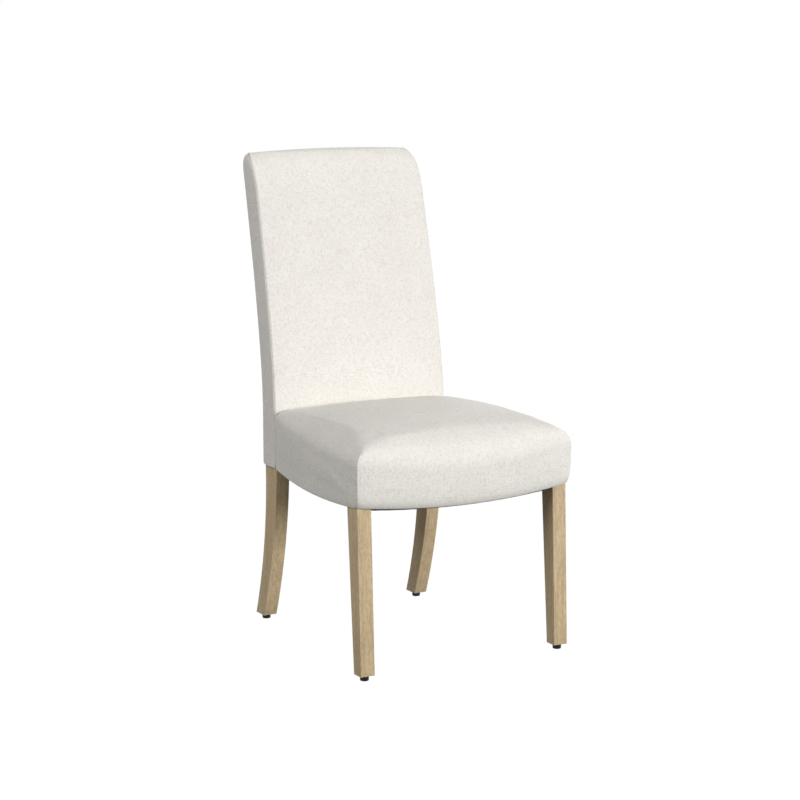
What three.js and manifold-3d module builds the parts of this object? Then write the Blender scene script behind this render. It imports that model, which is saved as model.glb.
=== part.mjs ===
// Upholstered dining chair: tall curved back, crowned seat, square wooden legs on screw-in feet.
// Millimetres. +Z is up, the chair faces -Y, and left is -X. The drafting plane Y = 0 is the
// front face of the rear legs at the seat. The finished chair is moved so that its origin is at
// the middle of its footprint on the floor.

import * as THREE from 'three';
import { mergeVertices } from 'three/addons/utils/BufferGeometryUtils.js';
import Module from 'manifold-3d';

const wasm = await Module();
wasm.setup();

// Driving dimensions

const fit = 0.3; // clearance between neighbouring pieces
const overrun = 5; // how far a cutting tool runs past what it cuts

const stem = {
  radius: 4, headRadius: 5.1, headHeight: 2.8, collarFlats: 13, collarHeight: 2, length: 24, tipChamfer: 1,
};
const pad = { radius: 9, height: 8.4, edge: 1.8, lip: 1.2, play: 0.5 }; // the play is round the stem
const insert = { wall: 1.6, threadPlay: 0.4, length: 14, holeReserve: 3 };

const frame = {
  frontWidth: 487, // across the outer faces of the front legs
  rearWidth: 407, // across the outer faces of the rear legs
  depth: 422.7, // front face of the front legs to front face of the rear legs
  railHeight: 75.6,
  railThickness: 22,
  railInset: 3, // side rails behind the outer faces of the legs
  frontRailInset: 1.5,
  frontRailThickness: 22, // at its ends, before the bow
};
const frontLeg = { width: 31.5, footDepth: 28.3, topDepth: 43.8, rake: 16.3 };
const rearLeg = {
  width: 30, topDepth: 52.8,
  sabreRise: 2, // the curve below starts this far above the seat's lower edge
  frontSweep: 67.8, rearSweep: 52.5, // how far the foot's faces run back
  frontBelly: 5.1, rearBelly: -6.4, // control points of the two sabre curves
  stepHeight: 14, // shoulder between leg and back post, above the rails
  stepStartShare: 0.8, // how much of the rear face's step is done at the rails' top
  postDrop: 29.2, // from the top of the back to the top of the posts
};
const cover = { thickness: 1.6, underlay: 1.2, sidePadding: 1.9, hem: 24 };
const seat = {
  bottom: 347.5, // height of the lower edge at the corners
  frontRimRise: 53, rearRimRise: 49, crown: 24, // rims above the rails, crown above the rims
  sidePadding: 6.5, frontPadding: 16.5, sideBow: 11, frontBow: 22,
  sideSag: 9, frontSag: 13, // how far the lower edge bellies down
  tuck: 4.5, // how far the lower edge draws in
  sideRoll: 70, rearSideRoll: 30, frontRoll: 38, rearRoll: 6,
  rollStartShare: 0.66,
  wallCorner: 60, topCorner: 8, // corner sharpness, as superellipse exponents
  rollBlend: 8, // how sharply the side roll changes to the end roll at a corner
};
const block = { reach: 50, height: 44, drop: 6 };
const bolt = { radius: 4, headFlats: 13, headHeight: 5.3, tipCover: 8 }; // tipCover is wood past its tip
const washer = { radius: 8, thickness: 1.6 };
const webbing = { width: 50, thickness: 1.6, endInset: 4, seatStraps: 4, seatMargin: 30 };
const back = {
  thickness: 58, top: 1004.2, arch: 5.8, archHeight: 124.2,
  bendRise: 23, bendDrop: 45.2, // the bend starts above the posts' shoulder and ends below the top
  bendControlShare: 0.2485, bendRun: 93.6,
  taper: 6.3, taperHeight: 524.2, // the back narrows towards its top
  cornerWidth: 10, cornerHeight: 40, // softened upper corners
  frontRollDepth: 42, frontRollHeight: 62, rearRollDepth: 14.6, rearRollHeight: 25,
  foamThickness: 17,
  strapShares: [0.226, 0.468, 0.711], // places of the straps up the posts
};
const backRail = { thickness: 22, inset: 2, height: 58, topGap: 2, lowerRise: 7, middleShare: 0.403 };
const rearRail = { thickness: 24 };
const board = { thickness: 2.5, sideInset: 4, topGap: 2 };
const dust = { thickness: 0.8, inset: 14, rearInset: 12, legGap: 1 };

// Facets

const roundSides = 20;
const barSteps = 12;
const sabreSteps = 12;
const postSteps = 14;
const seatEdgeSteps = { front: 12, side: 11, rear: 10 };
const seatBottomShares = [0.45, 0.86];
const seatTopShares = [0.62, 0.3];
const rollSteps = 4;
const backSteps = 12;
const backColumns = 8;
const strapSteps = 4;
const crossRailSteps = 4;
const padEdgeSteps = 3;
const mergeTolerance = 1e-4;

// Materials

const paint = (color, roughness, metalness = 0) =>
  new THREE.MeshStandardMaterial({ color, roughness, metalness });
const oak = paint('#c6ad8a', 0.62);
const hardwood = paint('#b99a6c', 0.75);
const fibreboard = paint('#8a6a48', 0.85);
const linen = paint('#ece9e2', 0.95);
const foam = paint('#efe6b8', 1);
const wadding = paint('#f6f6f4', 1);
const strapping = paint('#3b3b3d', 0.9);
const cambric = paint('#1c1c1d', 1);
const steel = paint('#b9bcc0', 0.35, 1);
const blackPlastic = paint('#141414', 0.45);

// Solids

const point = (x, y, z) => new THREE.Vector3(x, y, z);
const mix = THREE.MathUtils.lerp;
const clamp01 = (value) => THREE.MathUtils.clamp(value, 0, 1);

function signedVolume(positions, index) {
  const [a, b, c] = [point(), point(), point()];
  let volume = 0;
  for (let i = 0; i < index.length; i += 3) {
    a.fromBufferAttribute(positions, index[i]);
    b.fromBufferAttribute(positions, index[i + 1]);
    c.fromBufferAttribute(positions, index[i + 2]);
    volume += a.dot(b.cross(c)) / 6;
  }
  return volume;
}

// A closed surface with shared vertices, no empty faces and its faces pointing out.
function closed(geometry) {
  const bare = new THREE.BufferGeometry();
  bare.setAttribute('position', geometry.getAttribute('position').clone());
  if (geometry.index) bare.setIndex(geometry.index.clone());
  const merged = mergeVertices(bare, mergeTolerance);
  const corners = merged.index.array;
  const kept = [];
  for (let i = 0; i < corners.length; i += 3) {
    const [a, b, c] = [corners[i], corners[i + 1], corners[i + 2]];
    if (a !== b && b !== c && c !== a) kept.push(a, b, c);
  }
  if (signedVolume(merged.getAttribute('position'), kept) < 0) kept.reverse();
  merged.setIndex(kept);
  return merged;
}

function fromFaces(points, faces) {
  const geometry = new THREE.BufferGeometry().setFromPoints(points);
  geometry.setIndex(faces);
  return closed(geometry);
}

// A body through loops with equal numbers of points, with fanned ends.
function skin(loops) {
  const count = loops[0].length;
  const points = loops.flat();
  const faces = [];
  for (let j = 0; j + 1 < loops.length; j++) {
    for (let i = 0; i < count; i++) {
      const a = j * count + i;
      const b = j * count + ((i + 1) % count);
      faces.push(a, b, b + count, a, b + count, a + count);
    }
  }
  for (const end of [0, loops.length - 1]) {
    const middle = loops[end].reduce((sum, p) => sum.add(p), point(0, 0, 0)).divideScalar(count);
    const hub = points.push(middle) - 1;
    for (let i = 0; i < count; i++) {
      const [a, b] = [end * count + i, end * count + ((i + 1) % count)];
      faces.push(...(end === 0 ? [hub, b, a] : [hub, a, b]));
    }
  }
  return fromFaces(points, faces);
}

// A thin body between two grids of points, rows of equal length.
function sheet(outer, inner) {
  const rows = outer.length;
  const columns = outer[0].length;
  const points = [...outer.flat(), ...inner.flat()];
  const half = rows * columns;
  const faces = [];
  const quad = (a, b, c, d) => faces.push(a, b, c, a, c, d);
  for (let j = 0; j + 1 < rows; j++) {
    for (let i = 0; i + 1 < columns; i++) {
      const a = j * columns + i;
      quad(a, a + 1, a + 1 + columns, a + columns);
      quad(half + a, half + a + columns, half + a + 1 + columns, half + a + 1);
    }
  }
  const rim = [];
  for (let i = 0; i < columns - 1; i++) rim.push(i);
  for (let j = 0; j < rows - 1; j++) rim.push(j * columns + columns - 1);
  for (let i = columns - 1; i > 0; i--) rim.push((rows - 1) * columns + i);
  for (let j = rows - 1; j > 0; j--) rim.push(j * columns);
  rim.forEach((a, k) => {
    const b = rim[(k + 1) % rim.length];
    quad(b, a, half + a, half + b);
  });
  return fromFaces(points, faces);
}

const acrossX = (x, y0, y1, z0, z1) => [point(x, y0, z0), point(x, y1, z0), point(x, y1, z1), point(x, y0, z1)];
const acrossY = (y, x0, x1, z0, z1) => [point(x0, y, z0), point(x1, y, z0), point(x1, y, z1), point(x0, y, z1)];
const acrossZ = (z, x0, x1, y0, y1) => [point(x0, y0, z), point(x1, y0, z), point(x1, y1, z), point(x0, y1, z)];
const brick = (x0, x1, y0, y1, z0, z1) => skin([acrossZ(z0, x0, x1, y0, y1), acrossZ(z1, x0, x1, y0, y1)]);
const steps = (from, to, count) => Array.from({ length: count + 1 }, (_, i) => mix(from, to, i / count));

function plate(outline, z0, z1) {
  const shape = new THREE.Shape(outline.map(([x, y]) => new THREE.Vector2(x, y)));
  const geometry = new THREE.ExtrudeGeometry(shape, { depth: z1 - z0, bevelEnabled: false });
  return closed(geometry.translate(0, 0, z0));
}

function turned(profile) {
  const geometry = new THREE.LatheGeometry(profile.map(([r, z]) => new THREE.Vector2(r, z)), roundSides);
  return closed(geometry.rotateX(Math.PI / 2));
}

const rod = (radius, z0, z1) => turned([[0, z0], [radius, z0], [radius, z1], [0, z1]]);

function hexagon(flats, z0, z1) {
  const radius = flats / Math.sqrt(3);
  const corner = (i) => [radius * Math.cos((i * Math.PI) / 3), radius * Math.sin((i * Math.PI) / 3)];
  return plate([0, 1, 2, 3, 4, 5].map(corner), z0, z1);
}

const mirrored = (geometry) => closed(geometry.clone().scale(-1, 1, 1));
const moved = (geometry, matrix) => geometry.clone().applyMatrix4(matrix);

function solid(geometry) {
  const { attributes, index } = closed(geometry);
  return new wasm.Manifold(new wasm.Mesh({
    numProp: 3, vertProperties: attributes.position.array, triVerts: new Uint32Array(index.array),
  }));
}

function surface(manifold) {
  const mesh = manifold.getMesh();
  const geometry = new THREE.BufferGeometry();
  geometry.setAttribute('position', new THREE.BufferAttribute(mesh.vertProperties, 3));
  geometry.setIndex(new THREE.BufferAttribute(mesh.triVerts, 1));
  return geometry;
}

const cut = (body, ...tools) => surface(tools.reduce((rest, tool) => rest.subtract(solid(tool)), solid(body)));
const joined = (...bodies) => surface(bodies.map(solid).reduce((sum, body) => sum.add(body)));
const common = (a, b) => surface(solid(a).intersect(solid(b)));

// Levels and widths that several pieces share

const socketDepth = stem.headHeight + 2 * fit;
const insertBore = stem.radius + insert.threadPlay;
const insertRadius = insertBore + insert.wall;
const legBottom = pad.height + fit + stem.collarHeight + fit;
const frontHalf = frame.frontWidth / 2;
const rearHalf = frame.rearWidth / 2;
const frontLegInner = frontHalf - frontLeg.width;
const rearLegInner = rearHalf - rearLeg.width;
const frontFace = -frame.depth; // front face of the front legs at the rails
const hemTop = cover.thickness + fit; // how far the rails and panels sit above the lower edge
const railTop = seat.bottom + hemTop + frame.railHeight;
const rimFront = railTop + seat.frontRimRise;
const rimRear = railTop + seat.rearRimRise;
const backRear = rearLeg.topDepth + cover.thickness + cover.underlay;
const backFront = backRear - back.thickness;
const backMiddle = (backFront + backRear) / 2;
const backHalf = rearHalf + cover.thickness + cover.sidePadding;
const seatRear = backFront - fit;
const seatFront = frontFace - seat.frontPadding;
const seatFrontHalf = frontHalf + seat.sidePadding;
const seatHalfDepth = (seatRear - seatFront) / 2;
const deckTop = railTop + fit + webbing.thickness;
const shoulder = railTop + rearLeg.stepHeight; // where the back posts start
const sabreTop = seat.bottom + rearLeg.sabreRise;
const postTop = back.top - rearLeg.postDrop;
const backFaceBottom = shoulder + 2 * fit;

// The seat's lower edge bellies down. Across is -1 to 1 from left to right, and ahead is -1 to 1
// from rear to front.
const belly = (sag, share) => sag * (1 - share * share);
const aheadAt = (y) => (2 * (seatRear - y)) / (seatRear - seatFront) - 1;
const lowerEdge = (across, ahead) =>
  seat.bottom - (belly(seat.frontSag, across) * (1 + ahead)) / 2 - belly(seat.sideSag, ahead);

// Back: a bent slab. Its middle line is upright at the seat and leans back above it.

const bendStart = shoulder + back.bendRise;
const bendEnd = back.top - back.bendDrop;
const bendControl = mix(bendStart, bendEnd, back.bendControlShare);

// How far along the bend a height lies, from 0 at its start to 1 at its end.
function bendShare(z) {
  const a = bendStart - 2 * bendControl + bendEnd;
  const b = 2 * (bendControl - bendStart);
  return (-b + Math.sqrt(b * b - 4 * a * (bendStart - z))) / (2 * a);
}

function backLine(z) {
  if (z <= bendStart) return backMiddle;
  if (z >= bendEnd) return backMiddle + back.bendRun + ((z - bendEnd) * back.bendRun) / (bendEnd - bendControl);
  return backMiddle + back.bendRun * bendShare(z) ** 2;
}

// Level depth for a depth of one, measured at right angles to the back, where it leans at a height.
function leanStretch(z) {
  const t = z <= bendStart ? 0 : bendShare(Math.min(z, bendEnd));
  const climb = mix(bendControl - bendStart, bendEnd - bendControl, t);
  return Math.hypot(1, (back.bendRun * t) / climb);
}

const quarter = (depth, height, rise) => depth * (1 - Math.sqrt(1 - clamp01(rise / height) ** 2));
const taperAt = (z) => back.taper * clamp01((z - back.top + back.taperHeight) / back.taperHeight);
const backHalfAt = (z) =>
  backHalf - taperAt(z) - quarter(back.cornerWidth, back.cornerHeight, z - back.top + back.cornerHeight);
const frontOfBack = (z) => backLine(z) - back.thickness / 2
  + quarter(back.frontRollDepth, back.frontRollHeight, z - back.top + back.frontRollHeight);
const rearOfBack = (z) => backLine(z) + back.thickness / 2
  - quarter(back.rearRollDepth, back.rearRollHeight, z - back.top + back.rearRollHeight);

// Heights that are close together round a roll whose height is given.
const rollHeights = (height, count) =>
  steps(0, Math.PI / 2, count).map((angle) => back.top - height + height * Math.sin(angle));

const frontHeights = [
  ...steps(backFaceBottom, back.top - back.frontRollHeight, backSteps),
  ...rollHeights(back.frontRollHeight, rollSteps * 2).slice(1),
];
const rearHeights = [
  ...rollHeights(back.rearRollHeight, rollSteps).reverse(),
  ...steps(back.top - back.rearRollHeight, seat.bottom + cover.thickness, backSteps).slice(1),
];
const frontProfile = frontHeights.map((z) => [frontOfBack(z), z]);
const rearProfile = rearHeights.map((z) => [rearOfBack(z), z]);

// The profile moved inwards by a depth, at right angles to itself. It runs up the front and down the rear.
function inwards(profile, depth) {
  return profile.map(([y, z], i) => {
    const [y0, z0] = profile[Math.max(i - 1, 0)];
    const [y1, z1] = profile[Math.min(i + 1, profile.length - 1)];
    const length = Math.hypot(y1 - y0, z1 - z0);
    return [y + (depth * (z1 - z0)) / length, z - (depth * (y1 - y0)) / length];
  });
}

// Rows of points across the back along a profile, inset from its sides.
function acrossBack(profile, sideInset, columns) {
  return profile.map(([y, z]) => steps(-1, 1, columns).map((share) => {
    const up = clamp01((z - back.top + back.archHeight) / back.archHeight);
    const lift = belly(back.arch, share) * up * up;
    return point(share * (backHalfAt(Math.min(z, back.top)) - sideInset), y, z + lift);
  }));
}

function layer(profile, near, far, sideInset, columns = backColumns) {
  const [outer, inner] = [near, far].map((depth) => acrossBack(inwards(profile, depth), sideInset, columns));
  return sheet(outer, inner);
}

const seamInset = cover.thickness + fit;
const foamNear = cover.thickness + fit;
const foamFar = foamNear + back.foamThickness;
const strapNear = foamFar + fit;
const strapFar = strapNear + webbing.thickness;
const boardNear = cover.thickness + 2 * fit;
const boardFar = boardNear + board.thickness;
const postFront = (z) => backLine(z) - back.thickness / 2 + strapFar * leanStretch(z) + 2 * fit;
const postRear = (z) => backLine(z) + back.thickness / 2 - boardFar * leanStretch(z) - fit;
const postOuter = (z) => rearHalf - taperAt(z);
const postHeights = steps(shoulder, postTop, postSteps);

const overTop = [...frontProfile, ...rearProfile.slice(0, rollSteps + 1)];
const backFrontCover = () => layer(overTop, 0, cover.thickness, seamInset);

// Its top edge meets the front cover's, below the roll.
function backRearCover() {
  const [below, ...rest] = rearProfile.slice(rollSteps);
  const top = below[1] - fit;
  return layer([[rearOfBack(top), top], ...rest], 0, cover.thickness, seamInset);
}

function backSidePanel() {
  const heights = [
    ...steps(seat.bottom + cover.thickness, back.top - back.frontRollHeight, backSteps),
    ...rollHeights(back.frontRollHeight, rollSteps * 2).slice(1, -1),
  ];
  return skin(heights.map((z) => {
    const outer = backHalfAt(z);
    return acrossZ(z, outer - cover.thickness, outer, frontOfBack(z), rearOfBack(z));
  }));
}

// The foam's inner face is straight in front of the posts and level over their tops.
function backFoam() {
  const near = inwards(overTop, foamNear);
  const coreTop = postTop + fit;
  const rearmost = rearOfBack(coreTop) - foamNear * leanStretch(coreTop);
  const far = near.map(([y, z]) => {
    const level = Math.min(z, coreTop);
    const front = backLine(level) - back.thickness / 2 + foamFar;
    return [THREE.MathUtils.clamp(y, front, rearmost), level];
  });
  const rows = (profile) => acrossBack(profile, seamInset + fit, backColumns);
  return sheet(rows(near), rows(far));
}

function backStrap(middle) {
  const heights = steps(middle - webbing.width / 2, middle + webbing.width / 2, strapSteps);
  const profile = heights.map((z) => [frontOfBack(z), z]);
  const half = postOuter(middle) - webbing.endInset;
  const rows = (depth) => inwards(profile, depth).map(([y, z]) => [point(-half, y, z), point(half, y, z)]);
  return sheet(rows(strapNear), rows(strapFar));
}

function backBoard() {
  const heights = steps(postTop - board.topGap, shoulder, postSteps);
  const face = heights.map((z) => [backLine(z) + back.thickness / 2, z]);
  return layer(face, boardNear, boardFar, seamInset + board.sideInset, 2);
}

function backCrossRail(bottom, top) {
  return skin(steps(bottom, top, crossRailSteps).map((z) => {
    const half = postOuter(z) - rearLeg.width - fit;
    const front = postFront(z) + backRail.inset;
    return acrossZ(z, -half, half, front, front + backRail.thickness);
  }));
}

// Legs

function frontLegBar(grow = 0, top = railTop) {
  return skin([legBottom, top].map((z) => {
    const rise = (z - legBottom) / (railTop - legBottom);
    const front = frontFace - frontLeg.rake * (1 - rise);
    const rear = front + mix(frontLeg.footDepth, frontLeg.topDepth, rise);
    return acrossZ(z, frontLegInner - grow, frontHalf + grow, front - grow, rear + grow);
  }));
}

// One sawn piece: a sabre leg below the seat and a straight-sided post inside the back.
function rearLegBar(grow = 0) {
  const sabre = (top, belly, sweep) => new THREE.QuadraticBezierCurve(
    new THREE.Vector2(top, sabreTop),
    new THREE.Vector2(top + belly, (sabreTop + legBottom) / 2),
    new THREE.Vector2(top + sweep, legBottom),
  ).getPoints(sabreSteps).reverse();
  const front = sabre(0, rearLeg.frontBelly, rearLeg.frontSweep);
  const rear = sabre(rearLeg.topDepth, rearLeg.rearBelly, rearLeg.rearSweep);
  const low = front.map(({ x, y }, i) =>
    acrossZ(y, rearLegInner - grow, rearHalf + grow, x - grow, rear[i].x + grow));
  const rearAtRail = mix(rearLeg.topDepth, postRear(shoulder), rearLeg.stepStartShare);
  const atRail = acrossZ(railTop, rearLegInner - grow, rearHalf + grow, -grow, rearAtRail + grow);
  const post = postHeights.map((z) => {
    const outer = postOuter(z);
    return acrossZ(z, outer - rearLeg.width - grow, outer + grow, postFront(z) - grow, postRear(z) + grow);
  });
  return skin([...low, atRail, ...post]);
}

const frontFoot = point(
  frontHalf - frontLeg.width / 2, frontFace - frontLeg.rake + frontLeg.footDepth / 2, 0,
);
const rearFoot = point(
  rearHalf - rearLeg.width / 2, (rearLeg.frontSweep + rearLeg.topDepth + rearLeg.rearSweep) / 2, 0,
);

const insertHole = () => joined(
  rod(insertRadius + fit, legBottom - overrun, legBottom + insert.length + 2 * fit),
  rod(insertBore + fit, legBottom, legBottom + stem.length + insert.holeReserve),
);

// Seat rails

const railOuter = (y) => mix(rearHalf, frontHalf, clamp01(-y / frame.depth)) - frame.railInset;
const railInner = (y) => railOuter(y) - frame.railThickness;
const legRearFace = frontFace + frontLeg.topDepth;
const frontRailRear = frontFace + frame.frontRailInset + frame.frontRailThickness;

function frontRail() {
  const end = frontLegInner - fit;
  return skin(steps(-end, end, barSteps).map((x) => {
    const front = frontFace + frame.frontRailInset - belly(seat.frontBow, x / end);
    return acrossX(x, front, frontRailRear, lowerEdge(x / seatFrontHalf, 1) + hemTop, railTop);
  }));
}

function sideRail() {
  const [start, end] = [legRearFace + fit, -fit];
  return skin(steps(start, end, barSteps).map((y) => {
    return acrossY(y, railInner(y), railOuter(y), lowerEdge(1, aheadAt(y)) + hemTop, railTop);
  }));
}

const rearRailFront = rearLeg.topDepth - rearRail.thickness;
const rearSeatRail = () => brick(
  -rearLegInner + fit, rearLegInner - fit, rearRailFront, rearLeg.topDepth, seat.bottom + hemTop, railTop,
);

// Corner blocks, each with one bolt into its leg

const blockTop = railTop - block.drop;
const blockMiddle = blockTop - block.height / 2;

const frontBlockOutline = [
  [frontLegInner - fit - block.reach, frontRailRear + fit],
  [frontLegInner - fit, frontRailRear + fit],
  [frontLegInner - fit, legRearFace + fit],
  [railInner(legRearFace + fit) - fit, legRearFace + fit],
  [railInner(legRearFace + block.reach) - fit, legRearFace + block.reach],
];
const rearBlockOutline = [
  [rearLegInner - fit - block.reach, rearRailFront - fit],
  [rearLegInner - fit, rearRailFront - fit],
  [rearLegInner - fit, -fit],
  [railInner(-fit) - fit, -fit],
  [railInner(-block.reach) - fit, -block.reach],
];

// The bolt's place, on the middle of the block's long face with its Z axis running into the leg, and
// its length, which leaves some wood between its tip and the leg's outer face.
function boltLine(outline, legSide, legOuter) {
  const [a, b] = [outline[0], outline.at(-1)];
  const along = new THREE.Vector2(b[0] - a[0], b[1] - a[1]).normalize();
  const axis = point(Math.abs(along.y), legSide * Math.abs(along.x), 0);
  const start = point((a[0] + b[0]) / 2, (a[1] + b[1]) / 2, blockMiddle);
  const turn = new THREE.Quaternion().setFromUnitVectors(point(0, 0, 1), axis);
  const length = (legOuter - start.x) / axis.x - bolt.tipCover;
  return { place: new THREE.Matrix4().compose(start, turn, point(1, 1, 1)), length };
}

const boltHole = (length) => rod(bolt.radius + fit, -overrun, length + 2 * fit);

function boltBody(length) {
  const headTop = -2 * fit - washer.thickness;
  return joined(
    rod(bolt.radius, headTop - bolt.headHeight / 2, length),
    hexagon(bolt.headFlats, headTop - bolt.headHeight, headTop),
  );
}

const washerBody = () => turned([
  [bolt.radius + fit, -fit - washer.thickness], [washer.radius, -fit - washer.thickness],
  [washer.radius, -fit], [bolt.radius + fit, -fit], [bolt.radius + fit, -fit - washer.thickness],
]);

// Screw-in feet: a pad that stays still on the floor and a stem that turns in it

function padBody() {
  const { radius, height, edge, lip } = pad;
  const mouthRadius = stem.radius + pad.play;
  const socketRadius = stem.headRadius + pad.play;
  const bottomEdge = steps(0, Math.PI / 2, padEdgeSteps).map((angle) =>
    [radius - edge + edge * Math.sin(angle), edge - edge * Math.cos(angle)]);
  return turned([
    [0, 0], ...bottomEdge, [radius, height - edge / 2], [radius - edge / 2, height],
    [mouthRadius, height], [mouthRadius, height - lip],
    [socketRadius, height - lip], [socketRadius, height - lip - socketDepth],
    [0, height - lip - socketDepth],
  ]);
}

function stemBody() {
  const headTop = pad.height - pad.lip - fit;
  const headBottom = headTop - stem.headHeight;
  const collar = pad.height + fit;
  const tip = collar + stem.collarHeight + stem.length;
  const shaft = turned([
    [0, headBottom], [stem.headRadius, headBottom], [stem.headRadius, headTop], [stem.radius, headTop],
    [stem.radius, tip - stem.tipChamfer], [stem.radius - stem.tipChamfer, tip], [0, tip],
  ]);
  return joined(shaft, hexagon(stem.collarFlats, collar, collar + stem.collarHeight));
}

const insertBody = () => turned([
  [insertBore, legBottom + fit], [insertRadius, legBottom + fit],
  [insertRadius, legBottom + fit + insert.length], [insertBore, legBottom + fit + insert.length],
  [insertBore, legBottom + fit],
]);

// Seat: a crowned form with rolled edges, bowed sides and a lower edge that bellies and draws in.

function seatPlace(across, ahead, rise, inset) {
  const forward = (1 + ahead) / 2;
  const half = mix(backHalf, seatFrontHalf, forward) + belly(seat.sideBow, ahead) - inset;
  const bow = belly(seat.frontBow, across) * forward * forward;
  const y = mix(seatRear - inset, seatFront + inset, forward) - bow;
  const bottom = lowerEdge(across, ahead) + inset;
  const top = mix(rimRear, rimFront, forward) + seat.crown * belly(1, across) * belly(1, ahead) - inset;
  return point(across * half, y, mix(bottom, top, rise));
}

const seatEdge = [
  ...steps(-1, 1, seatEdgeSteps.front).slice(0, -1).map((across) => [across, 1]),
  ...steps(1, -1, seatEdgeSteps.side).slice(0, -1).map((ahead) => [1, ahead]),
  ...steps(1, -1, seatEdgeSteps.rear).slice(0, -1).map((across) => [across, -1]),
  ...steps(-1, 1, seatEdgeSteps.side).slice(0, -1).map((ahead) => [-1, ahead]),
];

// Rings up the wall: a share of its height, and how much of the tuck is left there.
const wallShares = [[0, 1], [0.045, 0.45], [0.18, 0.07], [0.42, 0]];

function seatForm(inset) {
  const ring = (rise, pull, sharpness) => seatEdge.map(([across, ahead]) => {
    const [sideWeight, endWeight] = [Math.abs(across) ** seat.rollBlend, Math.abs(ahead) ** seat.rollBlend];
    const blend = (side, end) => (side * sideWeight + end * endWeight) / (sideWeight + endWeight);
    const round = (Math.abs(across) ** sharpness + Math.abs(ahead) ** sharpness) ** (-1 / sharpness);
    const scale = round * pull(ahead, blend, (1 + ahead) / 2);
    return seatPlace(across * scale, ahead * scale, rise, inset);
  });
  const walls = wallShares.map(([rise, tuckShare]) => ring(
    rise, (ahead, blend, forward) => 1 - (seat.tuck * tuckShare * forward) / seatHalfDepth, seat.wallCorner,
  ));
  const rollWidth = (ahead, blend, forward) => blend(
    mix(seat.rearSideRoll, seat.sideRoll, forward) / seatFrontHalf,
    (ahead > 0 ? seat.frontRoll : seat.rearRoll) / seatHalfDepth,
  );
  const rolls = steps(0, Math.PI / 2, rollSteps).map((angle) => ring(
    mix(seat.rollStartShare, 1, Math.sin(angle)),
    (...place) => 1 - rollWidth(...place) * (1 - Math.cos(angle)),
    mix(seat.wallCorner, seat.topCorner, Math.sin(angle)),
  ));
  const bottoms = seatBottomShares.map((share) => ring(0, () => share, seat.wallCorner));
  const tops = seatTopShares.map((share) => ring(
    1, (...place) => share * (1 - rollWidth(...place)), seat.topCorner,
  ));
  return skin([...bottoms, ...walls, ...rolls, ...tops]);
}

const wide = frame.frontWidth;
const above = (level) => brick(-wide, wide, -wide * 2, wide, level, back.top);
const below = (level) => brick(-wide, wide, -wide * 2, wide, 0, level);

// The seat's plan at its lower edge, drawn in by a margin.
const seatPlan = (margin) => seatEdge.map(([across, ahead]) => {
  const place = seatPlace(across, ahead, 0, margin);
  return [place.x, place.y];
});

const legTools = (grow) => {
  const legs = [frontLegBar(grow, railTop + grow), rearLegBar(grow)];
  return [...legs, ...legs.map(mirrored)];
};

function seatCover() {
  const underside = plate(seatPlan(cover.hem), 0, seat.bottom + hemTop + overrun);
  const rearDoor = brick(
    -backHalf + cover.thickness + fit, backHalf - cover.thickness - fit,
    seatRear - cover.hem, seatRear + overrun, 0, backFaceBottom,
  );
  return cut(seatForm(0), seatForm(cover.thickness), underside, rearDoor, ...legTools(fit));
}

const seatFoam = () => common(seatForm(cover.thickness + fit), above(deckTop + fit));

// The frame's outline in plan, with a margin outside the rails and legs.
function framePlan(margin) {
  const bow = steps(-1, 1, barSteps).slice(1, -1).map((share) =>
    [share * frontLegInner, frontFace + frame.frontRailInset - belly(seat.frontBow, share) - margin]);
  const leg = [
    [frontLegInner, frontFace - margin], [frontHalf + margin, frontFace - margin],
    [frontHalf + margin, legRearFace + margin], [railOuter(legRearFace) + margin, legRearFace + margin],
    [railOuter(0) + margin, -fit], [railOuter(0) + margin, rearLeg.topDepth],
  ];
  return [...leg.map(([x, y]) => [-x, y]).reverse(), ...bow, ...leg];
}

function seatWadding() {
  const band = common(seatForm(cover.thickness + fit), below(railTop));
  const rearDoor = brick(-wide, wide, -fit - cover.hem, overrun, 0, back.top);
  return cut(band, plate(framePlan(fit), 0, back.top), ...legTools(fit), rearDoor);
}

function seatStrap(y) {
  const half = railOuter(y + webbing.width / 2) - webbing.endInset;
  const bottom = railTop + fit;
  return brick(-half, half, y - webbing.width / 2, y + webbing.width / 2, bottom, bottom + webbing.thickness);
}

const strapFirst = frontRailRear + webbing.seatMargin + webbing.width / 2;
const strapLast = rearRailFront - webbing.seatMargin - webbing.width / 2;
const strapPlaces = steps(strapFirst, strapLast, webbing.seatStraps - 1);

// Black cloth under the seat. It follows the belly of the rails and runs back under the rear rail.
function dustCover() {
  const rearEnd = rearLeg.topDepth - dust.rearInset;
  const sideShare = 1 - dust.inset / seatFrontHalf;
  const places = steps(1 - dust.inset / seatHalfDepth, -1, barSteps).map((ahead) =>
    steps(-sideShare, sideShare, barSteps).map((across) => seatPlace(across, ahead, 0, 0)));
  places.push(places.at(-1).map((at) => point(at.x, rearEnd, at.z)));
  const grid = (drop) => places.map((row) => row.map((at) => point(at.x, at.y, at.z - drop)));
  return cut(sheet(grid(2 * fit + dust.thickness), grid(2 * fit)), ...legTools(dust.legGap));
}

// Assembly

const chair = new THREE.Group();

function add(name, geometry, material, parent = chair) {
  const mesh = new THREE.Mesh(geometry, material);
  mesh.name = name;
  mesh.geometry.computeVertexNormals();
  parent.add(mesh);
}

const sides = [
  { name: 'left', sign: -1, shape: mirrored },
  { name: 'right', sign: 1, shape: (geometry) => geometry },
];

// The leg lies ahead of its corner block where legSide is -1, and behind it where legSide is 1.
const corners = [{
  end: 'front', leg: frontLegBar(), foot: frontFoot, outline: frontBlockOutline, legSide: -1, legOuter: frontHalf,
}, {
  end: 'rear', leg: rearLegBar(), foot: rearFoot, outline: rearBlockOutline, legSide: 1, legOuter: rearHalf,
}];

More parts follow.
